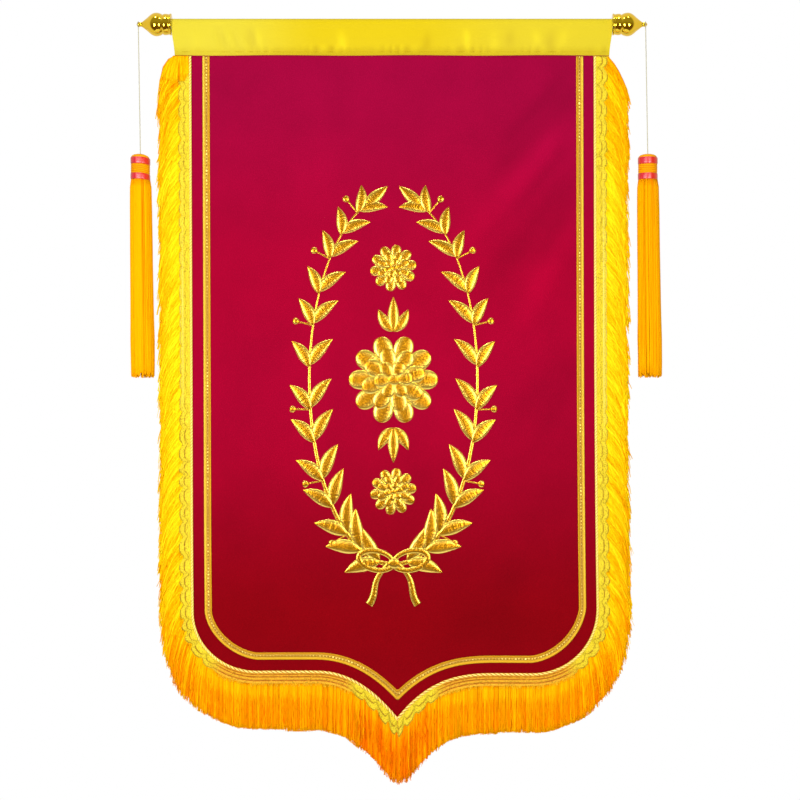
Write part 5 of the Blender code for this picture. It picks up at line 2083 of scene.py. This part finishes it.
# Painted highlight across each band, full at its edges, stored as the edge attribute.
PAINTED_EDGE_HIGHLIGHT = (1.0, 1.0, 0.30, 0.0, 0.0, 0.30, 1.0, 1.0)
VELVET_FACE = 0.0008
STITCH_SUNK = 0.0003
stitched = {"points": [], "faces": [], "edge": [], "count": 0}
stitch_draws = np.random.default_rng(51)


def leaf_width(share):
    """Width along a leaf, widest a little below its middle."""
    return np.sin(np.pi * np.clip(share, 0.0, 1.0) ** 0.82) ** 0.85


def petal_width(share):
    """Width along a petal, widest near its round end."""
    return np.sqrt(np.clip(1.0 - (2.0 * np.clip(share, 0.0, 1.0) ** 1.35 - 1.0) ** 2, 0.0, 1.0))


def stitch_band(spine, half_width, width_rule, height, base=0.0, slant=0.0):
    """Lay stitches across a spine of (x, z) points and add them to the embroidery."""
    spine = np.asarray(spine, dtype=float)
    run = run_along(spine)
    rows = max(8, int(run[-1] / STITCH_PITCH))
    share = np.linspace(0.0, 1.0, rows)
    line = follow(share * run[-1], run, spine)
    tangent = to_unit(np.gradient(line, axis=0))
    across = np.stack((-tangent[:, 1], tangent[:, 0]), axis=-1)
    width = half_width * np.maximum(width_rule(share), 0.04)
    ridge = np.where(np.arange(rows) % 2 == 0, 1.0, 0.88) - 0.10 * stitch_draws.random(rows)
    rounds = np.array(STITCH_ROUNDS)
    place = line[:, None] + (across * width[:, None])[:, None] * rounds[None, :, None]
    place = place + (tangent * slant)[:, None] * (rounds ** 2)[None, :, None]
    fullness = np.sqrt(np.clip(width / half_width, 0.0, 1.0))
    lift = height * np.array(PAD_LIFTS)[None, :] * (ridge * fullness)[:, None]
    x, z = place[..., 0], place[..., 1]
    front = velvet_y(x, z) - VELVET_FACE + STITCH_SUNK
    top = np.stack((x, front - base - STITCH_SUNK - lift, z), axis=-1)
    under = np.stack((x[:, ::-1], front[:, ::-1], z[:, ::-1]), axis=-1)
    ring = np.concatenate((top, under[:, [0, -1]]), axis=1)
    columns = ring.shape[1]
    stitched["points"].append(ring.reshape(-1, 3))
    stitched["faces"].extend(closed_faces(rows, columns, stitched["count"]))
    painted_edge_highlight = np.broadcast_to(np.array((*PAINTED_EDGE_HIGHLIGHT, 1.0, 1.0)), (rows, columns))
    stitched["edge"].append(painted_edge_highlight.ravel())
    stitched["count"] += rows * columns


def arc(centre, radii, start, end, count):
    """Points along part of an ellipse; angles in degrees, 0 along +X."""
    angle = np.radians(np.linspace(start, end, count))
    return np.stack((centre[0] + radii[0] * np.cos(angle), centre[1] + radii[1] * np.sin(angle)), axis=-1)


def pointing(start, angle, length, bend=0.0, count=9):
    """Short spine from a start, at an angle in degrees, with a bend to its left."""
    share = np.linspace(0.0, 1.0, count)
    heading = math.radians(angle)
    ahead = np.array((math.cos(heading), math.sin(heading)))
    left = np.array((-math.sin(heading), math.cos(heading)))
    aside = bend * np.sin(np.pi * share)
    return np.asarray(start) + ahead * (length * share)[:, None] + left * aside[:, None]


print("stitches every", STITCH_PITCH * 1000, "mm")

# %% Ornament
ORNAMENT_CENTRE = (0.002, -0.515)
WREATH_RADII = (0.122, 0.268)
WREATH_START = -86.0
WREATH_END = 70.0
LEAF_STATIONS = 13
LEAF_LENGTH = (0.060, 0.044)
LEAF_HALF_WIDTH = 0.0108
INNER_LEAF_SHARE = 0.9
LEAF_BEND_PER_DEGREE = 0.00010
PAD_HEIGHT = 0.0024
BOW_LOOP = (0.025, 0.014)
BLOSSOM_RINGS = (
    # petals, distance of their roots, length, half width, turn in degrees, base height
    (10, 0.019, 0.036, 0.0122, 0.0, 0.0),
    (8, 0.011, 0.029, 0.0108, 14.0, 0.0012),
    (6, 0.004, 0.020, 0.0086, 5.0, 0.0024),
)


def make_branch(side):
    """One leafy branch from the bow to the top."""
    stem = arc(ORNAMENT_CENTRE, WREATH_RADII, WREATH_START, WREATH_END, 60)
    stem[:, 0] = ORNAMENT_CENTRE[0] + side * (stem[:, 0] - ORNAMENT_CENTRE[0])
    stitch_band(stem, 0.0032, lambda share: np.clip(1.15 - share, 0.4, 1.0), 0.0014)
    tangent = np.gradient(stem, axis=0)
    for station in range(LEAF_STATIONS):
        share = (station + 0.6) / LEAF_STATIONS
        index = int(share * (len(stem) - 1))
        along = math.degrees(math.atan2(tangent[index, 1], tangent[index, 0]))
        length = LEAF_LENGTH[0] + (LEAF_LENGTH[1] - LEAF_LENGTH[0]) * share
        half_width = LEAF_HALF_WIDTH * length / LEAF_LENGTH[0]
        for turn, base in ((40.0, 0.0002), (-36.0, 0.0008)):
            root = stem[index] + (0.0, 0.003 * (turn > 0))
            reach = length * (1.0 if turn > 0 else INNER_LEAF_SHARE)
            spine = pointing(root, along + side * turn, reach, -side * turn * LEAF_BEND_PER_DEGREE)
            stitch_band(spine, half_width, leaf_width, PAD_HEIGHT, base)
        if station % 2 == 0 and station > 0:
            outward = along - side * 84.0
            stalk = pointing(stem[index], outward, 0.020)
            stitch_band(stalk, 0.0012, lambda share: np.ones_like(share), 0.0009)
            stitch_band(pointing(stalk[-1], outward, 0.0105), 0.0050, petal_width, 0.0024, 0.0002)
    tip = math.degrees(math.atan2(tangent[-1, 1], tangent[-1, 0]))
    last_leaf = pointing(stem[-1], tip, LEAF_LENGTH[1])
    stitch_band(last_leaf, LEAF_HALF_WIDTH * 0.8, leaf_width, PAD_HEIGHT, 0.0004)


def make_blossom(centre, scale, turn=0.0):
    """Round blossom of overlapping petals with a full middle."""
    centre = np.asarray(centre)
    for petals, root, length, half_width, twist, base in BLOSSOM_RINGS:
        for number in range(petals):
            angle = 360.0 * number / petals + twist + turn
            out = np.array((math.cos(math.radians(angle)), math.sin(math.radians(angle))))
            spine = pointing(centre + out * root * scale, angle, length * scale)
            lift = base + 0.0005 * (number % 2)
            stitch_band(spine, half_width * scale, petal_width, PAD_HEIGHT * 0.8, lift * scale)
    disc = pointing(centre - (0.0075 * scale, 0.0), 0.0, 0.015 * scale)
    stitch_band(disc, 0.0075 * scale, petal_width, PAD_HEIGHT, 0.0034 * scale)


def make_spray(root, angle, scale):
    """Three leaves that fan out from one root."""
    for turn, length in ((0.0, 0.056), (34.0, 0.043), (-34.0, 0.043)):
        spine = pointing(root, angle + turn, length * scale, 0.0030 * scale * np.sign(turn))
        stitch_band(spine, 0.0092 * scale, leaf_width, PAD_HEIGHT, 0.0 if turn else 0.0006)


def make_bow():
    """Bow and tails that tie the two branches."""
    knot = np.array((ORNAMENT_CENTRE[0], ORNAMENT_CENTRE[1] - WREATH_RADII[1] + 0.002))
    for side in (-1, 1):
        turn = np.linspace(0.0, math.tau, 40)
        out = 1.0 - np.cos(turn)
        loop = np.stack((side * BOW_LOOP[0] * out, BOW_LOOP[1] * np.sin(turn) + 0.004 * out), -1)
        stitch_band(knot + loop, 0.0044, lambda share: 0.7 + 0.3 * np.sin(np.pi * share), 0.0020, 0.0014)
        share = np.linspace(0.0, 1.0, 24)
        tail = np.stack((side * (0.006 + 0.034 * share + 0.005 * np.sin(5 * share)), -0.060 * share), -1)
        stitch_band(knot + tail, 0.0056, lambda share: 0.5 + 0.5 * share, 0.0018, 0.0012)
    stitch_band(pointing(knot - (0.009, 0.0), 0.0, 0.018), 0.0080, petal_width, 0.0026, 0.0024)


def finish_embroidery():
    """Turn all stitched shapes into one piece."""
    points = np.concatenate(stitched["points"])
    piece = add_piece("gold_embroidery", points, stitched["faces"], embroidery_gold, "gold_thread")
    # Painted highlight of the edges.
    store(piece, "edge", np.concatenate(stitched["edge"]))
    return piece


for side in (-1, 1):
    make_branch(side)
middle_x, middle_z = ORNAMENT_CENTRE
make_blossom((middle_x, middle_z), 1.18)
for end in (-1, 1):
    make_spray((middle_x, middle_z + end * 0.070), 90.0 * end, 0.9)
    make_blossom((middle_x, middle_z + end * 0.162), 0.62, 9.0)
make_bow()
gold_embroidery = finish_embroidery()
report(gold_embroidery)

# %% [markdown]
# ## Floor and last steps
# The banner hangs, so the floor only shows in other views: a plain pale disc below the tip. Then the sizes of
# the solids and of the dressed banner are printed side by side.

# %% Floor
FLOOR_Z = -1.30
FLOOR_RADIUS = 0.75
FLOOR_SIDES = 96


def make_floor():
    """Plain pale disc below the banner."""
    turn = np.linspace(0.0, math.tau, FLOOR_SIDES, endpoint=False)
    x, y = FLOOR_RADIUS * np.cos(turn), FLOOR_RADIUS * np.sin(turn)
    mesh = bpy.data.meshes.new("floor")
    mesh.from_pydata(np.stack((x, y, np.full_like(x, FLOOR_Z)), -1).tolist(), [], [list(range(FLOOR_SIDES))])
    material = new_material("pale_floor", 0.9)[0]
    mesh.materials.append(finish(material, colour(238, 238, 236), (4.0, 200.0, 0.03, 0.02)))
    add_object("floor", mesh)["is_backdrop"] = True


make_floor()
print("floor at", FLOOR_Z, "m")

# %% Sizes of the solids and the dressed banner
boxes = {"solids": solid_box, "dressed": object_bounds()}
for name, box in boxes.items():
    print(name, [[round(value, 4) for value in corner] for corner in box])
